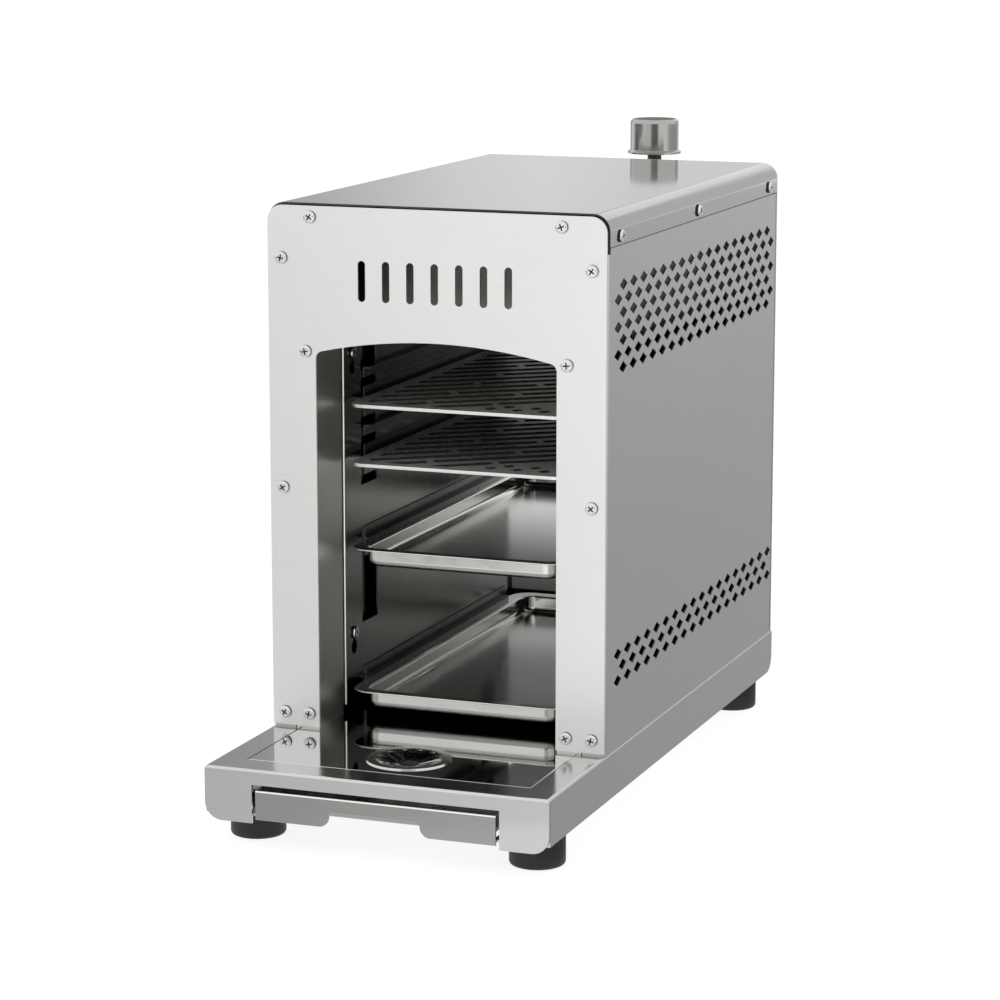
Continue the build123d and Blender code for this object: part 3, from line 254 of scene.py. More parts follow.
class FinishSettings(PropertyGroup):
    grate: FloatVectorProperty(
        name="Grates", description="Colour of the satin grates", subtype="COLOR", default=(0.92, 0.92, 0.88))
    rim: FloatVectorProperty(
        name="Grate rims", description="Colour of the worn outer edges of the grates", subtype="COLOR",
        default=(0.86, 0.86, 0.84))
    rubber: FloatVectorProperty(
        name="Rubber", description="Colour of the feet", subtype="COLOR", default=(0.006, 0.008, 0.006))
    ceramic: FloatVectorProperty(
        name="Ceramic", description="Colour of the flame tiles", subtype="COLOR", default=(0.72, 0.62, 0.50))
    brass: FloatVectorProperty(
        name="Brass", description="Colour of the gas fittings", subtype="COLOR", default=(0.72, 0.54, 0.26))
    copper: FloatVectorProperty(
        name="Copper", description="Colour of the sensor tube", subtype="COLOR", default=(0.70, 0.40, 0.26))
    plastic: FloatVectorProperty(
        name="Plastic", description="Colour of the dark mouldings", subtype="COLOR",
        default=(0.022, 0.022, 0.022))
    button: FloatVectorProperty(
        name="Button", description="Colour of the igniter's button", subtype="COLOR",
        default=(0.42, 0.02, 0.015))
    bar_round: FloatProperty(
        name="Bars", description="How far the edges of the grates' bars are rounded", unit="LENGTH",
        default=0.0004)
    fitting_round: FloatProperty(
        name="Fittings", description="How far the edges of the knob and the gas inlet are rounded",
        unit="LENGTH", default=0.0002)
    screw_round: FloatProperty(
        name="Screws", description="How far the screws' edges are rounded", unit="LENGTH", default=0.0001)
    wire_round: FloatProperty(
        name="Wire", description="How far the ends of the spring's wire are rounded", unit="LENGTH",
        default=0.00005)


# Materials


def found(tree, kind):
    """The tree's node of a type."""
    return next(made for made in tree.nodes if made.type == kind)


def shader(name):
    """A new material and its tree, with only a Principled BSDF on its output."""
    material = bpy.data.materials.new(name)
    material.use_nodes = True
    tree = material.node_tree
    return material, tree, found(tree, "BSDF_PRINCIPLED")


def node(tree, kind, **values):
    """A new node with the given input values and properties."""
    made = tree.nodes.new(kind)
    for key, value in values.items():
        if key in made.inputs:
            made.inputs[key].default_value = value
        else:
            setattr(made, key, value)
    return made


def object_place(tree):
    """Object coordinates, which are the frame's own."""
    return node(tree, "ShaderNodeTexCoord").outputs["Object"]


def noise(tree, scale, detail=3.0, roughness=0.6):
    """Noise on Object coordinates, stretched by three scales."""
    mapping = node(tree, "ShaderNodeMapping", Scale=scale)
    texture = node(tree, "ShaderNodeTexNoise", Scale=1.0, Detail=detail, Roughness=roughness)
    tree.links.new(object_place(tree), mapping.inputs["Vector"])
    tree.links.new(mapping.outputs["Vector"], texture.inputs["Vector"])
    return texture.outputs["Fac"]


def ranged(tree, value, low, high, start=0.3, end=0.7):
    """The value's range from start to end spread from low to high."""
    spread = node(tree, "ShaderNodeMapRange", clamp=True)
    spread.inputs["From Min"].default_value = start
    spread.inputs["From Max"].default_value = end
    spread.inputs["To Min"].default_value = low
    spread.inputs["To Max"].default_value = high
    tree.links.new(value, spread.inputs["Value"])
    return spread.outputs["Result"]


def mixed(tree, factor, first, second):
    """A colour from the first to the second as the factor goes from nought to one."""
    mix = node(tree, "ShaderNodeMix", data_type="RGBA")
    mix.inputs[6].default_value = (*first, 1)
    mix.inputs[7].default_value = (*second, 1)
    tree.links.new(factor, mix.inputs[0])
    return mix.outputs[2]


def bumped(tree, principled, height, depth, strength):
    """Lets the shading rise and sink with the height."""
    bump = node(tree, "ShaderNodeBump", Strength=strength, Distance=depth)
    tree.links.new(height, bump.inputs["Height"])
    tree.links.new(bump.outputs["Normal"], principled.inputs["Normal"])


def shaded(colour, factor):
    """The colour made darker or lighter, and white at most."""
    return tuple(min(1.0, value * factor) for value in colour)


def brushed(name, colour, roughness, grain, depth=0.00002, vary=0.05, blotch=0.03, metallic=1.0):
    """Steel with fine grain, whose three scales are small along the brushing and large across it.

    Its colour varies with the grain by the share vary, and in broad soft blotches by the share blotch.
    """
    material, tree, principled = shader(name)
    share = vary + blotch
    fine = noise(tree, grain, 4.0, 0.65)
    broad = noise(tree, (9.0, 9.0, 9.0), 2.0, 0.5)
    scaled = node(tree, "ShaderNodeMath", operation="MULTIPLY")
    tree.links.new(broad, scaled.inputs[0])
    scaled.inputs[1].default_value = blotch / share
    tone = node(tree, "ShaderNodeMath", operation="MULTIPLY_ADD")
    tree.links.new(fine, tone.inputs[0])
    tone.inputs[1].default_value = vary / share
    tree.links.new(scaled.outputs[0], tone.inputs[2])
    spread = ranged(tree, tone.outputs[0], 0.0, 1.0, 0.35, 0.65)
    tree.links.new(mixed(tree, spread, shaded(colour, 1 - share), shaded(colour, 1 + share)),
                   principled.inputs["Base Color"])
    principled.inputs["Metallic"].default_value = metallic
    tree.links.new(ranged(tree, fine, roughness * 0.85, roughness * 1.2), principled.inputs["Roughness"])
    bumped(tree, principled, fine, depth, 0.5)
    return material


def moulded(name, colour, roughness, grain=900.0, depth=0.00003, metallic=0.0, vary=0.12):
    """A dull, evenly grained surface: plastic, rubber, enamel, ceramic or cast metal."""
    material, tree, principled = shader(name)
    fine = noise(tree, (grain, grain, grain), 3.0, 0.6)
    broad = ranged(tree, noise(tree, (22.0, 22.0, 22.0), 2.0, 0.5), 0.0, 1.0)
    tree.links.new(mixed(tree, broad, shaded(colour, 1 - vary), shaded(colour, 1 + vary)),
                   principled.inputs["Base Color"])
    principled.inputs["Metallic"].default_value = metallic
    tree.links.new(ranged(tree, fine, roughness * 0.85, min(1.0, roughness * 1.15)),
                   principled.inputs["Roughness"])
    bumped(tree, principled, fine, depth, 0.6)
    return material


def turned(name, colour, roughness, centre, ring=0.0006, depth=0.000006):
    """Steel turned on a lathe, with fine rings round an upright axis."""
    material, tree, principled = shader(name)
    mapping = node(tree, "ShaderNodeMapping", Location=(-centre[0], -centre[1], 0))
    wave = node(tree, "ShaderNodeTexWave", wave_type="RINGS", rings_direction="Z", Scale=0.32 / ring,
                Distortion=0.6, Detail=2.0)
    tree.links.new(object_place(tree), mapping.inputs["Vector"])
    tree.links.new(mapping.outputs["Vector"], wave.inputs["Vector"])
    tree.links.new(mixed(tree, wave.outputs["Fac"], shaded(colour, 0.96), shaded(colour, 1.04)),
                   principled.inputs["Base Color"])
    principled.inputs["Metallic"].default_value = 1.0
    tree.links.new(ranged(tree, wave.outputs["Fac"], roughness * 0.85, roughness * 1.2, 0.0, 1.0),
                   principled.inputs["Roughness"])
    bumped(tree, principled, wave.outputs["Fac"], depth, 0.6)
    return material


def flame_tile(name, colour, pitch=0.0021):
    """Porous ceramic with rows of small flame holes, which are not cut but painted dark as their shade, with
    a bump.
    """
    material, tree, principled = shader(name)
    cells = node(tree, "ShaderNodeTexVoronoi", Scale=1 / pitch, Randomness=0.0)
    tree.links.new(object_place(tree), cells.inputs["Vector"])
    # Painted shade: each flame hole is a dark dot for the shade inside it
    hole_shade = ranged(tree, cells.outputs["Distance"], 0.0, 1.0, 0.26, 0.34)
    tree.links.new(mixed(tree, hole_shade, shaded(colour, 0.06), colour), principled.inputs["Base Color"])
    principled.inputs["Roughness"].default_value = 0.9
    bumped(tree, principled, hole_shade, 0.0004, 0.8)
    return material


def dress(names, material):
    """Gives CAD nodes a material."""
    for name in names:
        slots = NODES[name].data.materials
        slots.clear()
        slots.append(material)


# Pieces


def deselect():
    """Leaves edit mode and selects nothing."""
    if bpy.context.object and bpy.context.object.mode != "OBJECT":
        bpy.ops.object.mode_set(mode="OBJECT")
    bpy.ops.object.select_all(action="DESELECT")


def activate(piece):
    """Makes the piece the active and only selected object."""
    deselect()
    piece.select_set(True)
    bpy.context.view_layer.objects.active = piece


def weigh_edges(piece, wide, share):
    """Bevel weights: one for sharp edges that pass the test, the share for other sharp edges."""
    mesh = bmesh.new()
    mesh.from_mesh(piece.data)
    weights = mesh.edges.layers.float.new("bevel_weight_edge")
    for edge in mesh.edges:
        if edge.is_manifold and edge.calc_face_angle() > math.radians(SHARP_ANGLE):
            middle = (edge.verts[0].co + edge.verts[1].co) / 2
            edge[weights] = 1.0 if wide(middle) else share
    mesh.to_mesh(piece.data)
    mesh.free()


def refinish(piece, material, chosen):
    """Gives the faces that pass the test a further material."""
    piece.data.materials.append(material)
    for polygon in piece.data.polygons:
        if chosen(polygon.center, polygon.normal):
            polygon.material_index = len(piece.data.materials) - 1


def slanted(rise, least=0.15, most=0.95):
    """Whether a face whose normal has this rise slants upwards, and is neither upright nor level."""
    return least < rise < most


def rounded_copy(name, material, width, wide=None, wide_width=0.0):
    """A CAD piece's own copy with doubles merged and sharp edges rounded, which stands for the node.

    The edges whose middle passes the test wide are rounded by wide_width, and the rest by width.
    """
    source = NODES[name]
    piece = bpy.data.objects.new(f"{name}_sheet", source.data.copy())
    bpy.context.scene.collection.objects.link(piece)
    activate(piece)
    bpy.ops.object.mode_set(mode="EDIT")
    bpy.ops.mesh.select_all(action="SELECT")
    bpy.ops.mesh.remove_doubles(threshold=MERGE_DISTANCE)
    bpy.ops.mesh.customdata_custom_splitnormals_clear()
    bpy.ops.mesh.dissolve_limited(angle_limit=math.radians(FLAT_ANGLE))
    bpy.ops.object.mode_set(mode="OBJECT")
    bevel = piece.modifiers.new("edges", "BEVEL")
    bevel.width = width
    bevel.segments = 2
    bevel.limit_method = "ANGLE"
    bevel.angle_limit = math.radians(SHARP_ANGLE)
    if wide:
        weigh_edges(piece, wide, width / wide_width)
        bevel.width = wide_width
        bevel.limit_method = "WEIGHT"
    bevel.use_clamp_overlap = True
    bpy.ops.object.modifier_apply(modifier="edges")
    bpy.ops.object.shade_smooth_by_angle(angle=math.radians(SMOOTH_ANGLE))
    weighted = piece.modifiers.new("flat_faces", "WEIGHTED_NORMAL")
    weighted.weight = 100
    weighted.keep_sharp = True
    bpy.ops.object.modifier_apply(modifier="flat_faces")
    piece.data.materials.clear()
    piece.data.materials.append(material)
    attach(piece, source["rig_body"])
    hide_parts(name)
    return piece


def islands(mesh):
    """The separate solids of a mesh, each as the set of its vertices."""
    left = set(mesh.verts)
    while left:
        growing = [left.pop()]
        island = set(growing)
        while growing:
            vertex = growing.pop()
            for edge in vertex.link_edges:
                other = edge.other_vert(vertex)
                if other in left:
                    left.discard(other)
                    island.add(other)
                    growing.append(other)
        yield island


# Operators


class StageMaker(Operator):
    """Adds the camera, the white floor, the soft lamps and the cards that the steel mirrors."""

    bl_idname = "grill.make_stage"
    bl_label = "Make Stage"

    def execute(self, context):
        settings = context.scene.grill_stage
        self.add_camera(settings)
        self.light_world(settings)
        self.add_floor(settings)
        self.add_lamps(settings)
        self.add_room_cards()
        self.add_far_cards()
        self.add_rear_cards()
        context.scene.view_settings.view_transform = "Standard"
        return {"FINISHED"}

    def add_camera(self, settings):
        deselect()
        bpy.ops.object.camera_add(
            location=settings.camera_place,
            rotation=(math.pi / 2 + settings.camera_pitch, 0, settings.camera_yaw))
        camera = bpy.context.object
        camera.name = "view_camera"
        camera.data.lens = settings.lens
        camera.data.sensor_width = 36.0
        camera.data.clip_end = 60.0
        bpy.context.scene.camera = camera

    def white_to_sight(self, tree):
        """One for camera, glossy and transmission rays, and nought for the rest."""
        path = node(tree, "ShaderNodeLightPath")
        first = node(tree, "ShaderNodeMath", operation="MAXIMUM")
        tree.links.new(path.outputs["Is Camera Ray"], first.inputs[0])
        tree.links.new(path.outputs["Is Glossy Ray"], first.inputs[1])
        both = node(tree, "ShaderNodeMath", operation="MAXIMUM")
        tree.links.new(first.outputs[0], both.inputs[0])
        tree.links.new(path.outputs["Is Transmission Ray"], both.inputs[1])
        return both.outputs[0]

    def light_world(self, settings):
        world = bpy.data.worlds.new("white_room")
        bpy.context.scene.world = world
        world.use_nodes = True
        tree = world.node_tree
        background = found(tree, "BACKGROUND")
        background.inputs["Color"].default_value = (1, 1, 1, 1)
        strength = ranged(tree, self.white_to_sight(tree), settings.world_light, 1.0, start=0.0, end=1.0)
        tree.links.new(strength, background.inputs["Strength"])

    def add_floor(self, settings):
        deselect()
        bpy.ops.mesh.primitive_plane_add(size=settings.floor_size, location=(0, 0, CAD_BOX[0][2]))
        floor = bpy.context.object
        floor.name = "floor"
        material, tree, principled = shader("white_floor")
        tree.nodes.remove(principled)
        grey = settings.floor_grey
        matte = node(tree, "ShaderNodeBsdfDiffuse", Color=(grey, grey, grey, 1))
        glow = node(tree, "ShaderNodeEmission", Color=(1, 1, 1, 1))
        strength = ranged(tree, self.white_to_sight(tree), settings.floor_glow, settings.floor_white,
                          start=0.0, end=1.0)
        tree.links.new(strength, glow.inputs["Strength"])
        both = node(tree, "ShaderNodeAddShader")
        tree.links.new(matte.outputs[0], both.inputs[0])
        tree.links.new(glow.outputs[0], both.inputs[1])
        tree.links.new(both.outputs[0], found(tree, "OUTPUT_MATERIAL").inputs["Surface"])
        floor.data.materials.append(material)

    def add_lamp(self, name, place, size, power):
        """A round soft lamp that points at the grill and shows in no mirror."""
        deselect()
        bpy.ops.object.light_add(type="AREA", location=place)
        lamp = bpy.context.object
        lamp.name = name
        lamp.data.shape = "DISK"
        lamp.data.size = size
        lamp.data.energy = power
        middle = Vector((0, 0, 0.2))
        lamp.rotation_euler = (middle - Vector(place)).to_track_quat("-Z", "Y").to_euler()
        lamp.visible_glossy = False

    def add_lamps(self, settings):
        self.add_lamp("key_lamp", place=(-1.5, -1.9, 2.0), size=1.6, power=settings.key_power)
        self.add_lamp("fill_lamp", place=(2.0, -0.9, 1.4), size=1.8, power=settings.fill_power)

    def add_card(self, name, place, size, turn, shades, along="X"):
        """A card that only mirror reflections see, turned by degrees.

        Its grey runs evenly through its shades, along its own X or Y.
        """
        deselect()
        bpy.ops.mesh.primitive_plane_add(size=1.0, location=(0, 0, 0))
        card = bpy.context.object
        card.name = name
        card.scale = (*size, 1)
        card.rotation_euler = [math.radians(angle) for angle in turn]
        card.location = place
        material, tree, principled = shader(f"{name}_grey")
        tree.nodes.remove(principled)
        parts = node(tree, "ShaderNodeSeparateXYZ")
        tree.links.new(object_place(tree), parts.inputs[0])
        factor = ranged(tree, parts.outputs[along], 0.0, 1.0, -0.5, 0.5)
        ramp = node(tree, "ShaderNodeValToRGB")
        while len(ramp.color_ramp.elements) < len(shades):
            ramp.color_ramp.elements.new(0.5)
        for element, (at, shade) in zip(ramp.color_ramp.elements, shades):
            element.position = at
            element.color = (shade, shade, shade, 1)
        tree.links.new(factor, ramp.inputs[0])
        glow = node(tree, "ShaderNodeEmission", Strength=1.0)
        tree.links.new(ramp.outputs[0], glow.inputs["Color"])
        tree.links.new(glow.outputs[0], found(tree, "OUTPUT_MATERIAL").inputs["Surface"])
        card.data.materials.append(material)
        for kind in ("camera", "diffuse", "transmission", "volume_scatter", "shadow"):
            setattr(card, f"visible_{kind}", False)

    def add_room_cards(self):
        """Cards on the floor, behind the grill and behind the camera, which the outer steel mirrors."""
        self.add_card("side_card", place=(1.02, 1.9, CARD_LEVEL), size=(1.8, 4.6), turn=(0, 0, 0),
                      shades=((0.0, 0.42), (0.5, 0.52), (1.0, 0.66)), along="Y")
        self.add_card("front_card", place=(-0.72, -1.25, CARD_LEVEL), size=(0.9, 2.2), turn=(0, 0, -25),
                      shades=((0.0, 0.55), (0.55, 0.66), (1.0, 0.98)))
        self.add_card("rear_card", place=(-1.75, 2.6, 0.7), size=(2.4, 1.4), turn=(90, 0, 0),
                      shades=((0.0, 0.25), (0.64, 0.40), (0.78, 0.74), (0.84, 0.80), (0.90, 0.74),
                              (1.0, 0.72)))
        self.add_card("sky_card", place=(1.5, 3.6, 0.9), size=(3.0, 1.6), turn=(90, 0, -20),
                      shades=((0.0, 1.0), (0.3, 0.66), (1.0, 0.66)))
        self.add_card("tray_front_card", place=(-0.275, -0.86, CARD_LEVEL + CARD_LIFT), size=(0.15, 0.16),
                      turn=(0, 0, 0), shades=((0.0, 0.22), (1.0, 0.22)))
        self.add_card("camera_card", place=(0.95, -2.8, 0.42), size=(1.9, 0.8), turn=(90, 0, 18),
                      shades=((0.0, 0.34), (0.4, 0.16), (1.0, 0.20)))

    def add_far_cards(self):
        """Cards far out on the floor, which the knob's round wall mirrors on both sides."""
        knob_y = (KNOB_LOW[1] + KNOB_HIGH[1]) / 2
        for name, heading, away, size, shade in FAR_CARDS:
            turn = math.radians(heading)
            place = (away * math.sin(turn), knob_y - away * math.cos(turn), CARD_LEVEL)
            self.add_card(name, place, size, turn=(0, 0, heading), shades=((0.0, shade), (1.0, shade)))

    def add_rear_cards(self):
        """Cards before the rear inner wall, which the trays and grates mirror."""
        rear_low, rear_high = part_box("rear_liner")
        rear = rear_low[1] - REAR_CARD_GAP
        width = rear_high[0] - rear_low[0] - REAR_CARD_MARGIN
        for below, above, start, gap, shades in REAR_CARDS:
            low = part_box(below)[1][2] + start
            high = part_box(above)[0][2] - gap
            self.add_card(f"{below}_card", place=(0, rear, (low + high) / 2), size=(width, high - low),
                          turn=(90, 0, 0), shades=shades, along="Y")


class CaseDresser(Operator):
    """Gives the case its brushed front and satin sides, painted lighter and darker, its polished cover, its
    rounded sheet edges, and painted light and shade on the window's and the cover's cut edges.
    """

    bl_idname = "grill.dress_case"
    bl_label = "Dress Case"

    def execute(self, context):
        steel = context.scene.grill_steel
        # Painted light and shade: the front plate's steel is painted lighter, and the panels' steel darker
        pale = brushed("brushed_front_painted_light", steel.front, 0.32, (10, 700, 700), depth=0.000003, vary=0.006,
                       blotch=0.008)
        satin = brushed("satin_case_painted_shade", steel.case, 0.32, (1400, 60, 1400), depth=0.0000008, vary=0.008,
                        blotch=0.006)
        polished = brushed("polished_cover", steel.cover, 0.07, (900, 14, 900), depth=0.000004, vary=0.01,
                           blotch=0.01)
        # Painted highlight: the window's cut edges are painted pale for the light they catch
        window_edge_highlight = moulded("window_edge_painted_highlight", (0.80, 0.80, 0.78), 0.5, 1500.0, 0.00001)
        # Painted shadow: the cover's front edge is painted near black for the shadow in the gap behind the
        # front plate
        cut = moulded("cover_edge_painted_shadow", (0.10, 0.10, 0.10), 0.5, 1500.0, 0.00001, metallic=1.0)
        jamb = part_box("right_jamb")[0][0]
        cover_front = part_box("top_cover")[0][1]

        def on_window_side(centre, normal):
            return abs(normal.x) > 0.5 and 0.9 * jamb < abs(centre.x) < jamb

        def on_front_cut(centre, normal):
            return centre.y < cover_front + 2 * SKIN and normal.y < -0.7

        dress(["front_rail"], satin)
        rounded_copy("rear_panel", satin, steel.edge_round)
        plate = rounded_copy("front_plate", pale, steel.plate_round)
        refinish(plate, window_edge_highlight, on_window_side)
        cover = rounded_copy("top_cover", polished, steel.edge_round)
        refinish(cover, cut, on_front_cut)
        for side in SIDES:
            rounded_copy(f"{side}_side_panel", satin, steel.edge_round)
        return {"FINISHED"}


class BaseDresser(Operator):
    """Gives the base, the drip plate, the strainer and the drawer their polished steel, with painted
    highlights on their bends and edges.
    """

    bl_idname = "grill.dress_base"
    bl_label = "Dress Base"

    def execute(self, context):
        steel = context.scene.grill_steel
        # Painted highlight: a brighter copy of the base's steel on bends and edges, for the light they catch
        highlight_bend = brushed("painted_highlight_bend", shaded(steel.base, 1.6), 0.14, GRAIN_ALONG_X, depth=0.000002)
        self.dress_pan(steel, highlight_bend)
        self.dress_drawer(steel, highlight_bend)
        return {"FINISHED"}

    def dress_pan(self, steel, highlight_bend):
        """The base with its folded edges, and the drip plate and strainer in it, with painted highlights on
        the seams, outlines and the strainer's top.
        """
        base = brushed("polished_base", steel.base, 0.15, GRAIN_ALONG_X, depth=0.000003, vary=0.01,
                       blotch=0.015)
        # Painted highlight: a brighter copy of the base's steel on its upper bends
        fold_highlight = brushed("base_fold_painted_highlight", shaded(steel.base, 1.2), 0.15, GRAIN_ALONG_X, depth=0.000002)
        mirror = brushed("mirror_drip", steel.drip, 0.04, GRAIN_ALONG_X, depth=0.000001, vary=0.01,
                         blotch=0.01)
        low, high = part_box("drip_plate")
        top = high[2] - SKIN

        def at_opening(middle):
            return (middle.z > top and abs(middle.x) < high[0] + SEAM_REACH
                    and low[1] - SEAM_REACH < middle.y < high[1] + SEAM_REACH)

        def at_outline(middle):
            inside = (abs(middle.x) <= high[0] - SEAM_REACH
                      and low[1] + SEAM_REACH <= middle.y <= high[1] - SEAM_REACH)
            return middle.z > top and not inside

        def on_fold(centre, normal):
            return slanted(normal.z) and centre.z > top - BASE_FOLD and not at_opening(centre)

        pan = rounded_copy("base_pan", base, steel.edge_round, wide=at_opening,
                           wide_width=steel.seam_round)
        refinish(pan, highlight_bend, lambda centre, normal: slanted(normal.z) and at_opening(centre))
        refinish(pan, fold_highlight, on_fold)
        plate = rounded_copy("drip_plate", mirror, steel.edge_round, wide=at_outline,
                             wide_width=steel.seam_round)
        refinish(plate, highlight_bend, lambda centre, normal: slanted(normal.z) and at_outline(centre))
        strainer = rounded_copy("drain_strainer", mirror, steel.edge_round)
        refinish(strainer, highlight_bend, lambda centre, normal: centre.z > top)

    def dress_drawer(self, steel, highlight_bend):
        """The drawer's front with a painted highlight on its upper edge, its pan and its runners."""
        satin = brushed("satin_drawer", steel.drawer, 0.24, GRAIN_ALONG_X, depth=0.000006, vary=0.02,
                        blotch=0.02)
        front = rounded_copy("drawer_front", satin, steel.edge_round)
        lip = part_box("drawer_front")[1][2] - DRAWER_LIP
        refinish(front, highlight_bend, lambda centre, normal: centre.z > lip and slanted(normal.z, 0.1, 0.97))
        rounded_copy("drawer_pan", satin, steel.edge_round)
        dress(["drawer_runners"], satin)


class InsideDresser(Operator):
    """Gives the inner walls and racks their dark steel, with lighter copies of it on the jambs and the racks'
    folds as painted light, and a darker copy on the rails as painted shade.
    """

    bl_idname = "grill.dress_inside"
    bl_label = "Dress Inside"

    def execute(self, context):
        steel = context.scene.grill_steel
        inner = brushed("inner_steel", steel.inner, 0.19, GRAIN_UPRIGHT, depth=0.000004, vary=0.03,
                        blotch=0.12)
        # Painted light: the jambs and the racks' front folds get lighter copies of the walls' steel, the
        # folds as a painted highlight
        jamb = brushed("jamb_steel_painted_light", shaded(steel.inner, 3.75), 0.36, GRAIN_UPRIGHT, depth=0.000004,
                       vary=0.03, blotch=0.05)
        fold_highlight = brushed("rack_fold_painted_highlight", shaded(steel.inner, 4.4), 0.22, GRAIN_UPRIGHT, depth=0.000004,
                       vary=0.02)
        # Painted shade: the rails get a darker copy of the walls' steel, for the shade beside the trays
        rail_shade = brushed("rail_steel_painted_shade", shaded(steel.inner, 0.9), 0.3, (12, 300, 300), depth=0.000002,
                       vary=0.03)
        dress(["right_liner", "left_liner", "rear_liner", "heat_shield", "burner_hangers"], inner)
        for side in SIDES:
            rounded_copy(f"{side}_jamb", jamb, steel.fold_round)
            rack = rounded_copy(f"{side}_rack", inner, steel.fold_round)
            fold_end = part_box(f"{side}_rack")[0][1] + RACK_FOLD
            refinish(rack, fold_highlight, lambda centre, normal: centre.y < fold_end)
            rounded_copy(f"{side}_rack_rails", rail_shade, steel.edge_round)
        return {"FINISHED"}


class GrateDresser(Operator):
    """Gives the two grates their satin bars and worn rims, and painted shade on their slots' walls and
    undersides.
    """

    bl_idname = "grill.dress_grates"
    bl_label = "Dress Grates"

    def execute(self, context):
        finish = context.scene.grill_finish
        satin = brushed("satin_grate", finish.grate, 0.34, (300, 60, 300), depth=0.0000004, vary=0.02,
                        blotch=0.02, metallic=0.6)
        # Painted shade: the slots' walls and the grates' undersides are painted near black for the shade in
        # and under the slots
        slot_shade = moulded("slot_painted_shade", (0.012, 0.012, 0.011), 0.85, 900.0, 0.00001)
        edge = brushed("grate_rim", finish.rim, 0.22, (300, 300, 300), depth=0.000002, vary=0.02, blotch=0.02)
        for name in ("upper_grate", "lower_grate"):
            on_rim = self.rim_test(name)
            grate = rounded_copy(name, satin, finish.bar_round)
            refinish(grate, slot_shade, lambda centre, normal: normal.z < 0.9 and not on_rim(centre, normal))
            refinish(grate, edge, on_rim)
        return {"FINISHED"}

    def rim_test(self, name):
        """A test for faces on the outer rim of a grate with round corners."""
        low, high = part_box(name)
        half = Vector(((high[0] - low[0]) / 2, (high[1] - low[1]) / 2))
        middle_y = (high[1] + low[1]) / 2

        def on_rim(centre, normal):
            off_x = abs(centre.x) - half.x + GRATE_CORNER
            off_y = abs(centre.y - middle_y) - half.y + GRATE_CORNER
            outside = Vector((max(off_x, 0), max(off_y, 0))).length + min(max(off_x, off_y), 0)
            return outside > GRATE_CORNER - GRATE_RIM

        return on_rim


class TrayDresser(Operator):
    """Gives the two trays their pressed satin steel, with painted highlights on the upward bends and painted
    shade on the undersides.
    """

    bl_idname = "grill.dress_trays"
    bl_label = "Dress Trays"

    def execute(self, context):
        steel = context.scene.grill_steel
        pressed = brushed("tray_steel", steel.tray, 0.16, (60, 200, 200), depth=0.000001, vary=0.02,
                          blotch=0.04)
        # Painted highlight: a brighter copy of the trays' steel on the upward bends
        highlight_bend = brushed("tray_bend_painted_highlight", shaded(steel.tray, 1.3), 0.12, GRAIN_EVEN, depth=0.000002, vary=0.01)
        # Painted shade: a darker copy of the trays' steel on the faces that look down
        under = brushed("tray_underside_painted_shade", shaded(steel.tray, 0.72), 0.22, GRAIN_EVEN, depth=0.000002, vary=0.01)
        for name in ("upper_tray", "lower_tray"):
            tray = rounded_copy(name, pressed, steel.edge_round)
            refinish(tray, highlight_bend, lambda centre, normal: slanted(normal.z, 0.1, 0.97))
            refinish(tray, under, lambda centre, normal: slanted(-normal.z, 0.1, 0.97))
        return {"FINISHED"}


class BurnerDresser(Operator):
    """Gives the burner's box, frame, tiles and mixing tube their finishes."""

    bl_idname = "grill.dress_burner"
    bl_label = "Dress Burner"

    def execute(self, context):
        finish = context.scene.grill_finish
        steel = moulded("burner_steel", (0.34, 0.33, 0.31), 0.42, 400.0, 0.00003, metallic=1.0)
        insulator = moulded("insulator_ceramic", (0.80, 0.78, 0.72), 0.35, 900.0, 0.00001, vary=0.04)
        dress(["burner_housing", "burner_frame", "mixing_tube"], steel)
        dress(["burner_tiles"], flame_tile("tile_ceramic", finish.ceramic))
        dress(["electrode_insulator"], insulator)
        return {"FINISHED"}


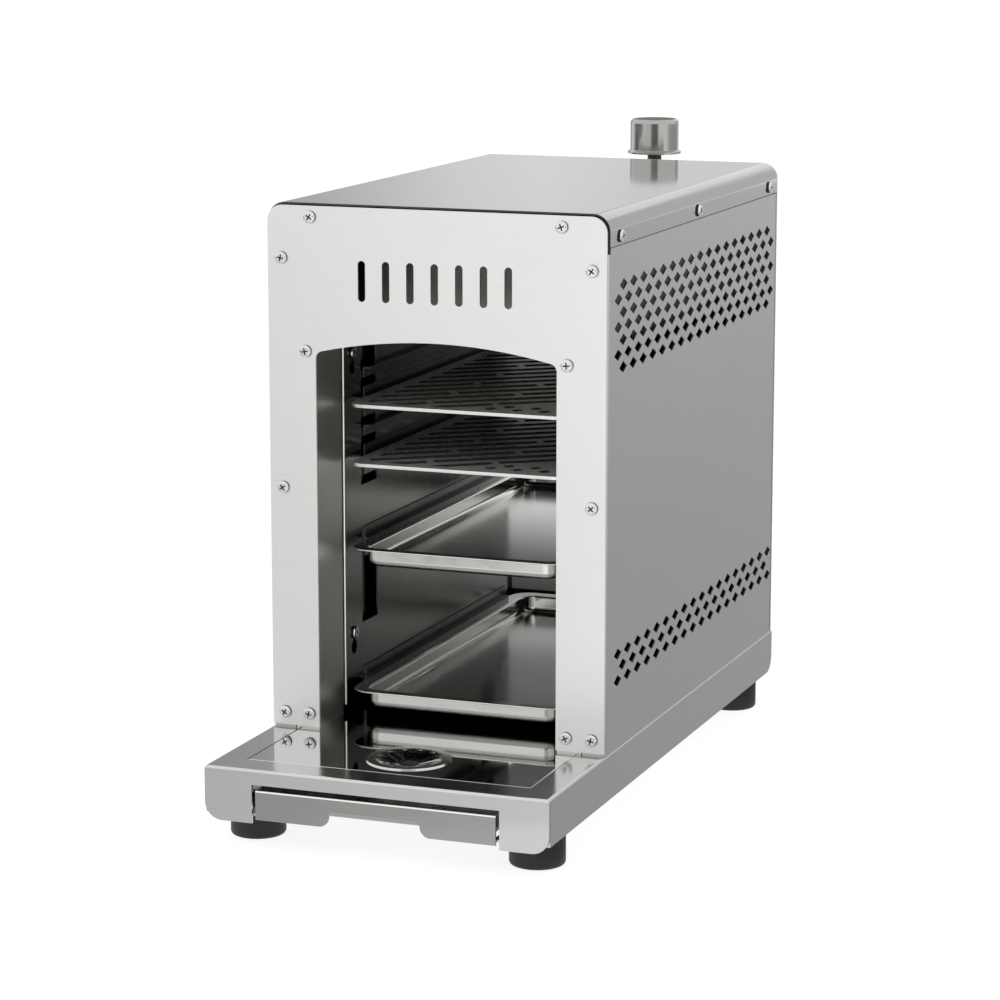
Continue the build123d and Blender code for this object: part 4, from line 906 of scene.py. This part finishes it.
class ValveDresser(Operator):
    """Gives the valve, the fittings, the igniter and the leads behind the case their finishes."""

    bl_idname = "grill.dress_valve"
    bl_label = "Dress Valve"

    def execute(self, context):
        finish = context.scene.grill_finish
        steel = context.scene.grill_steel
        satin = brushed("bracket_steel", steel.case, 0.32, GRAIN_ALONG_X, vary=0.03, blotch=0.02)
        cast = moulded("valve_metal", (0.52, 0.52, 0.50), 0.42, 1500.0, 0.00005, metallic=1.0)
        brass = moulded("brass_fitting", finish.brass, 0.24, 1500.0, 0.00001, metallic=1.0, vary=0.05)
        copper = moulded("copper_tube", finish.copper, 0.28, 1200.0, 0.00001, metallic=1.0, vary=0.08)
        plastic = moulded("dark_plastic", finish.plastic, 0.45, 1800.0, 0.00002)
        button = moulded("button_plastic", finish.button, 0.30, 1800.0, 0.00001, vary=0.05)
        sleeve = moulded("lead_sleeve", (0.05, 0.045, 0.04), 0.5, 1500.0, 0.00002)
        rounded_copy("valve_bracket", satin, steel.edge_round)
        dress(["valve_body", "stem_collar", "valve_stem"], cast)
        dress(["injector"], brass)
        self.thread_inlet(brass, finish.fitting_round)
        dress(["thermocouple"], copper)
        dress(["igniter_body", "igniter_nut", "knob_hub"], plastic)
        dress(["igniter_button"], button)
        dress(["ignition_lead"], sleeve)
        return {"FINISHED"}

    def thread_inlet(self, brass, width):
        """Turns the inlet's plain nipple down to the root of a pipe thread and winds the thread on it."""
        nipple = rounded_copy("gas_inlet", brass, width)
        low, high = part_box("gas_inlet")
        axis_z = (low[2] + high[2]) / 2
        for vertex in nipple.data.vertices:
            reach = Vector((vertex.co.x, vertex.co.z - axis_z))
            if NIPPLE_WALL[0] < reach.length < NIPPLE_WALL[1]:
                reach *= THREAD_ROOT / THREAD_CREST
                vertex.co.x, vertex.co.z = reach.x, reach.y + axis_z
        start = high[1] - THREAD_LEAD_IN - THREAD_TURNS * THREAD_PITCH
        self.wind_thread((0, start, axis_z), brass)

    def wind_thread(self, start, brass):
        """A three-cornered tooth wound about the inlet's axis from the start point to the rear."""
        deselect()
        bpy.ops.mesh.primitive_circle_add(vertices=3, radius=THREAD_TOOTH, location=start,
                                          rotation=(0, 0, -math.pi / 2))
        thread = bpy.context.object
        thread.name = "inlet_thread"
        bpy.ops.object.transform_apply(location=False, rotation=True, scale=False)
        bpy.ops.object.mode_set(mode="EDIT")
        bpy.ops.mesh.select_all(action="SELECT")
        bpy.ops.transform.translate(value=(THREAD_CREST - THREAD_TOOTH, 0, 0))
        bpy.ops.object.mode_set(mode="OBJECT")
        screw = thread.modifiers.new("turns", "SCREW")
        screw.axis = "Y"
        screw.screw_offset = THREAD_PITCH
        screw.iterations = THREAD_TURNS
        screw.steps = screw.render_steps = THREAD_STEPS
        bpy.ops.object.modifier_apply(modifier="turns")
        bpy.ops.object.transform_apply(location=True, rotation=True, scale=True)
        bpy.ops.object.mode_set(mode="EDIT")
        bpy.ops.mesh.select_all(action="SELECT")
        bpy.ops.mesh.fill_holes(sides=3)
        bpy.ops.mesh.normals_make_consistent(inside=False)
        bpy.ops.object.mode_set(mode="OBJECT")
        bpy.ops.object.shade_smooth_by_angle(angle=math.radians(50))
        thread.data.materials.append(brass)
        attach(thread, "housing")


class KnobDresser(Operator):
    """Gives the spun knob its turned steel, with painted shade on its top."""

    bl_idname = "grill.dress_knob"
    bl_label = "Dress Knob"

    def execute(self, context):
        steel = context.scene.grill_steel
        finish = context.scene.grill_finish
        side = brushed("turned_knob", steel.knob, 0.14, (40, 40, 2600), depth=0.000006, vary=0.02,
                       blotch=0.01)
        centre = [(KNOB_LOW[axis] + KNOB_HIGH[axis]) / 2 for axis in range(2)]
        # Painted shade: the top is a darker copy of the knob's steel, with its edge tint lowered, to darken
        # the reflection it shows
        face = turned("turned_knob_top_painted_shade", shaded(steel.knob, 0.6), 0.30, centre)
        principled = found(face.node_tree, "BSDF_PRINCIPLED")
        principled.inputs["Specular Tint"].default_value = (0.35, 0.35, 0.35, 1)
        knob = rounded_copy("knob_cap", side, finish.fitting_round)
        top = KNOB_HIGH[2] - SKIN
        refinish(knob, face, lambda middle, normal: middle.z > top)
        return {"FINISHED"}


class SmallPartsDresser(Operator):
    """Gives the screws, pins, nuts, spring and feet their finishes, with painted shade in the screw heads'
    recesses and on their bands.
    """

    bl_idname = "grill.dress_small_parts"
    bl_label = "Dress Small Parts"

    def execute(self, context):
        finish = context.scene.grill_finish
        screw = brushed("screw_steel", (0.78, 0.78, 0.77), 0.20, (500, 500, 500), depth=0.000006, vary=0.03,
                        blotch=0.02)
        # Painted shade: a near black steel in the heads' cross recesses and on their lower bands
        recess = moulded("screw_recess_painted_shade", (0.05, 0.05, 0.05), 0.5, 1500.0, 0.00001, metallic=1.0)
        rubber = moulded("foot_rubber", finish.rubber, 0.55, 700.0, 0.00004)
        dress(["bracket_screws", "base_screws", "foot_screws", "foot_nuts", "electrode_pin"], screw)
        dress(["feet"], rubber)
        self.make_spring(finish, screw)
        for name, outward in CROSS_HEADS:
            piece = rounded_copy(name, screw, finish.screw_round)
            self.paint_shade_on_heads(piece, outward, recess)
        return {"FINISHED"}

    def make_spring(self, finish, screw):
        """The coil spring's own rounded copy."""
        spring = rounded_copy("stem_spring", screw, finish.wire_round)
        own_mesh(spring)

    def paint_shade_on_heads(self, piece, outward, recess):
        """Paints shade into each head's cross recess and onto its outer band with a near black steel.

        The heads face outward right of the middle, and the mirrored way left of it.
        """
        piece.data.materials.append(recess)
        mesh = bmesh.new()
        mesh.from_mesh(piece.data)
        for island in islands(mesh):
            low = Vector([min(vertex.co[axis] for vertex in island) for axis in range(3)])
            high = Vector([max(vertex.co[axis] for vertex in island) for axis in range(3)])
            middle = (low + high) / 2
            side = 1 if middle.x > 0 else -1
            way = Vector((outward[0] * side, outward[1], outward[2]))
            top = max(vertex.co.dot(way) for vertex in island)
            for face in {face for vertex in island for face in vertex.link_faces}:
                centre = face.calc_center_median()
                depth = top - centre.dot(way)
                offset = centre - middle
                radius = (offset - offset.dot(way) * way).length
                facing = abs(face.normal.dot(way))
                in_recess = radius < RECESS_REACH and (depth > RECESS_DEPTH or facing < 0.4)
                on_band = radius > HEAD_BAND_START and depth > HEAD_BAND_DEPTH and facing < 0.5
                if depth < HEAD_HEIGHT and (in_recess or on_band):
                    face.material_index = 1
        mesh.to_mesh(piece.data)
        mesh.free()


class GrillPanel(Panel):
    """Lists the grill's settings and the steps that dress it."""

    bl_idname = "VIEW3D_PT_grill"
    bl_label = "Overhead Gas Grill"
    bl_space_type = "VIEW_3D"
    bl_region_type = "UI"
    bl_category = "Grill"

    def draw(self, context):
        layout = self.layout
        for group in (context.scene.grill_stage, context.scene.grill_steel, context.scene.grill_finish):
            box = layout.box()
            for name in group.__annotations__:
                box.prop(group, name)
        for operator in OPERATORS:
            layout.operator(operator.bl_idname)


OPERATORS = [StageMaker, CaseDresser, BaseDresser, InsideDresser, GrateDresser, TrayDresser, BurnerDresser,
             ValveDresser, KnobDresser, SmallPartsDresser]
GROUPS = {"grill_stage": StageSettings, "grill_steel": SteelSettings, "grill_finish": FinishSettings}


def register():
    for name, group in GROUPS.items():
        bpy.utils.register_class(group)
        setattr(bpy.types.Scene, name, PointerProperty(type=group))
    for operator in OPERATORS:
        bpy.utils.register_class(operator)
    bpy.utils.register_class(GrillPanel)


def unregister():
    bpy.utils.unregister_class(GrillPanel)
    for operator in reversed(OPERATORS):
        bpy.utils.unregister_class(operator)
    for name, group in GROUPS.items():
        delattr(bpy.types.Scene, name)
        bpy.utils.unregister_class(group)


def main():
    register()
    for operator in OPERATORS:
        group, _, name = operator.bl_idname.partition(".")
        getattr(getattr(bpy.ops, group), name)()


if __name__ == "__main__":
    main()
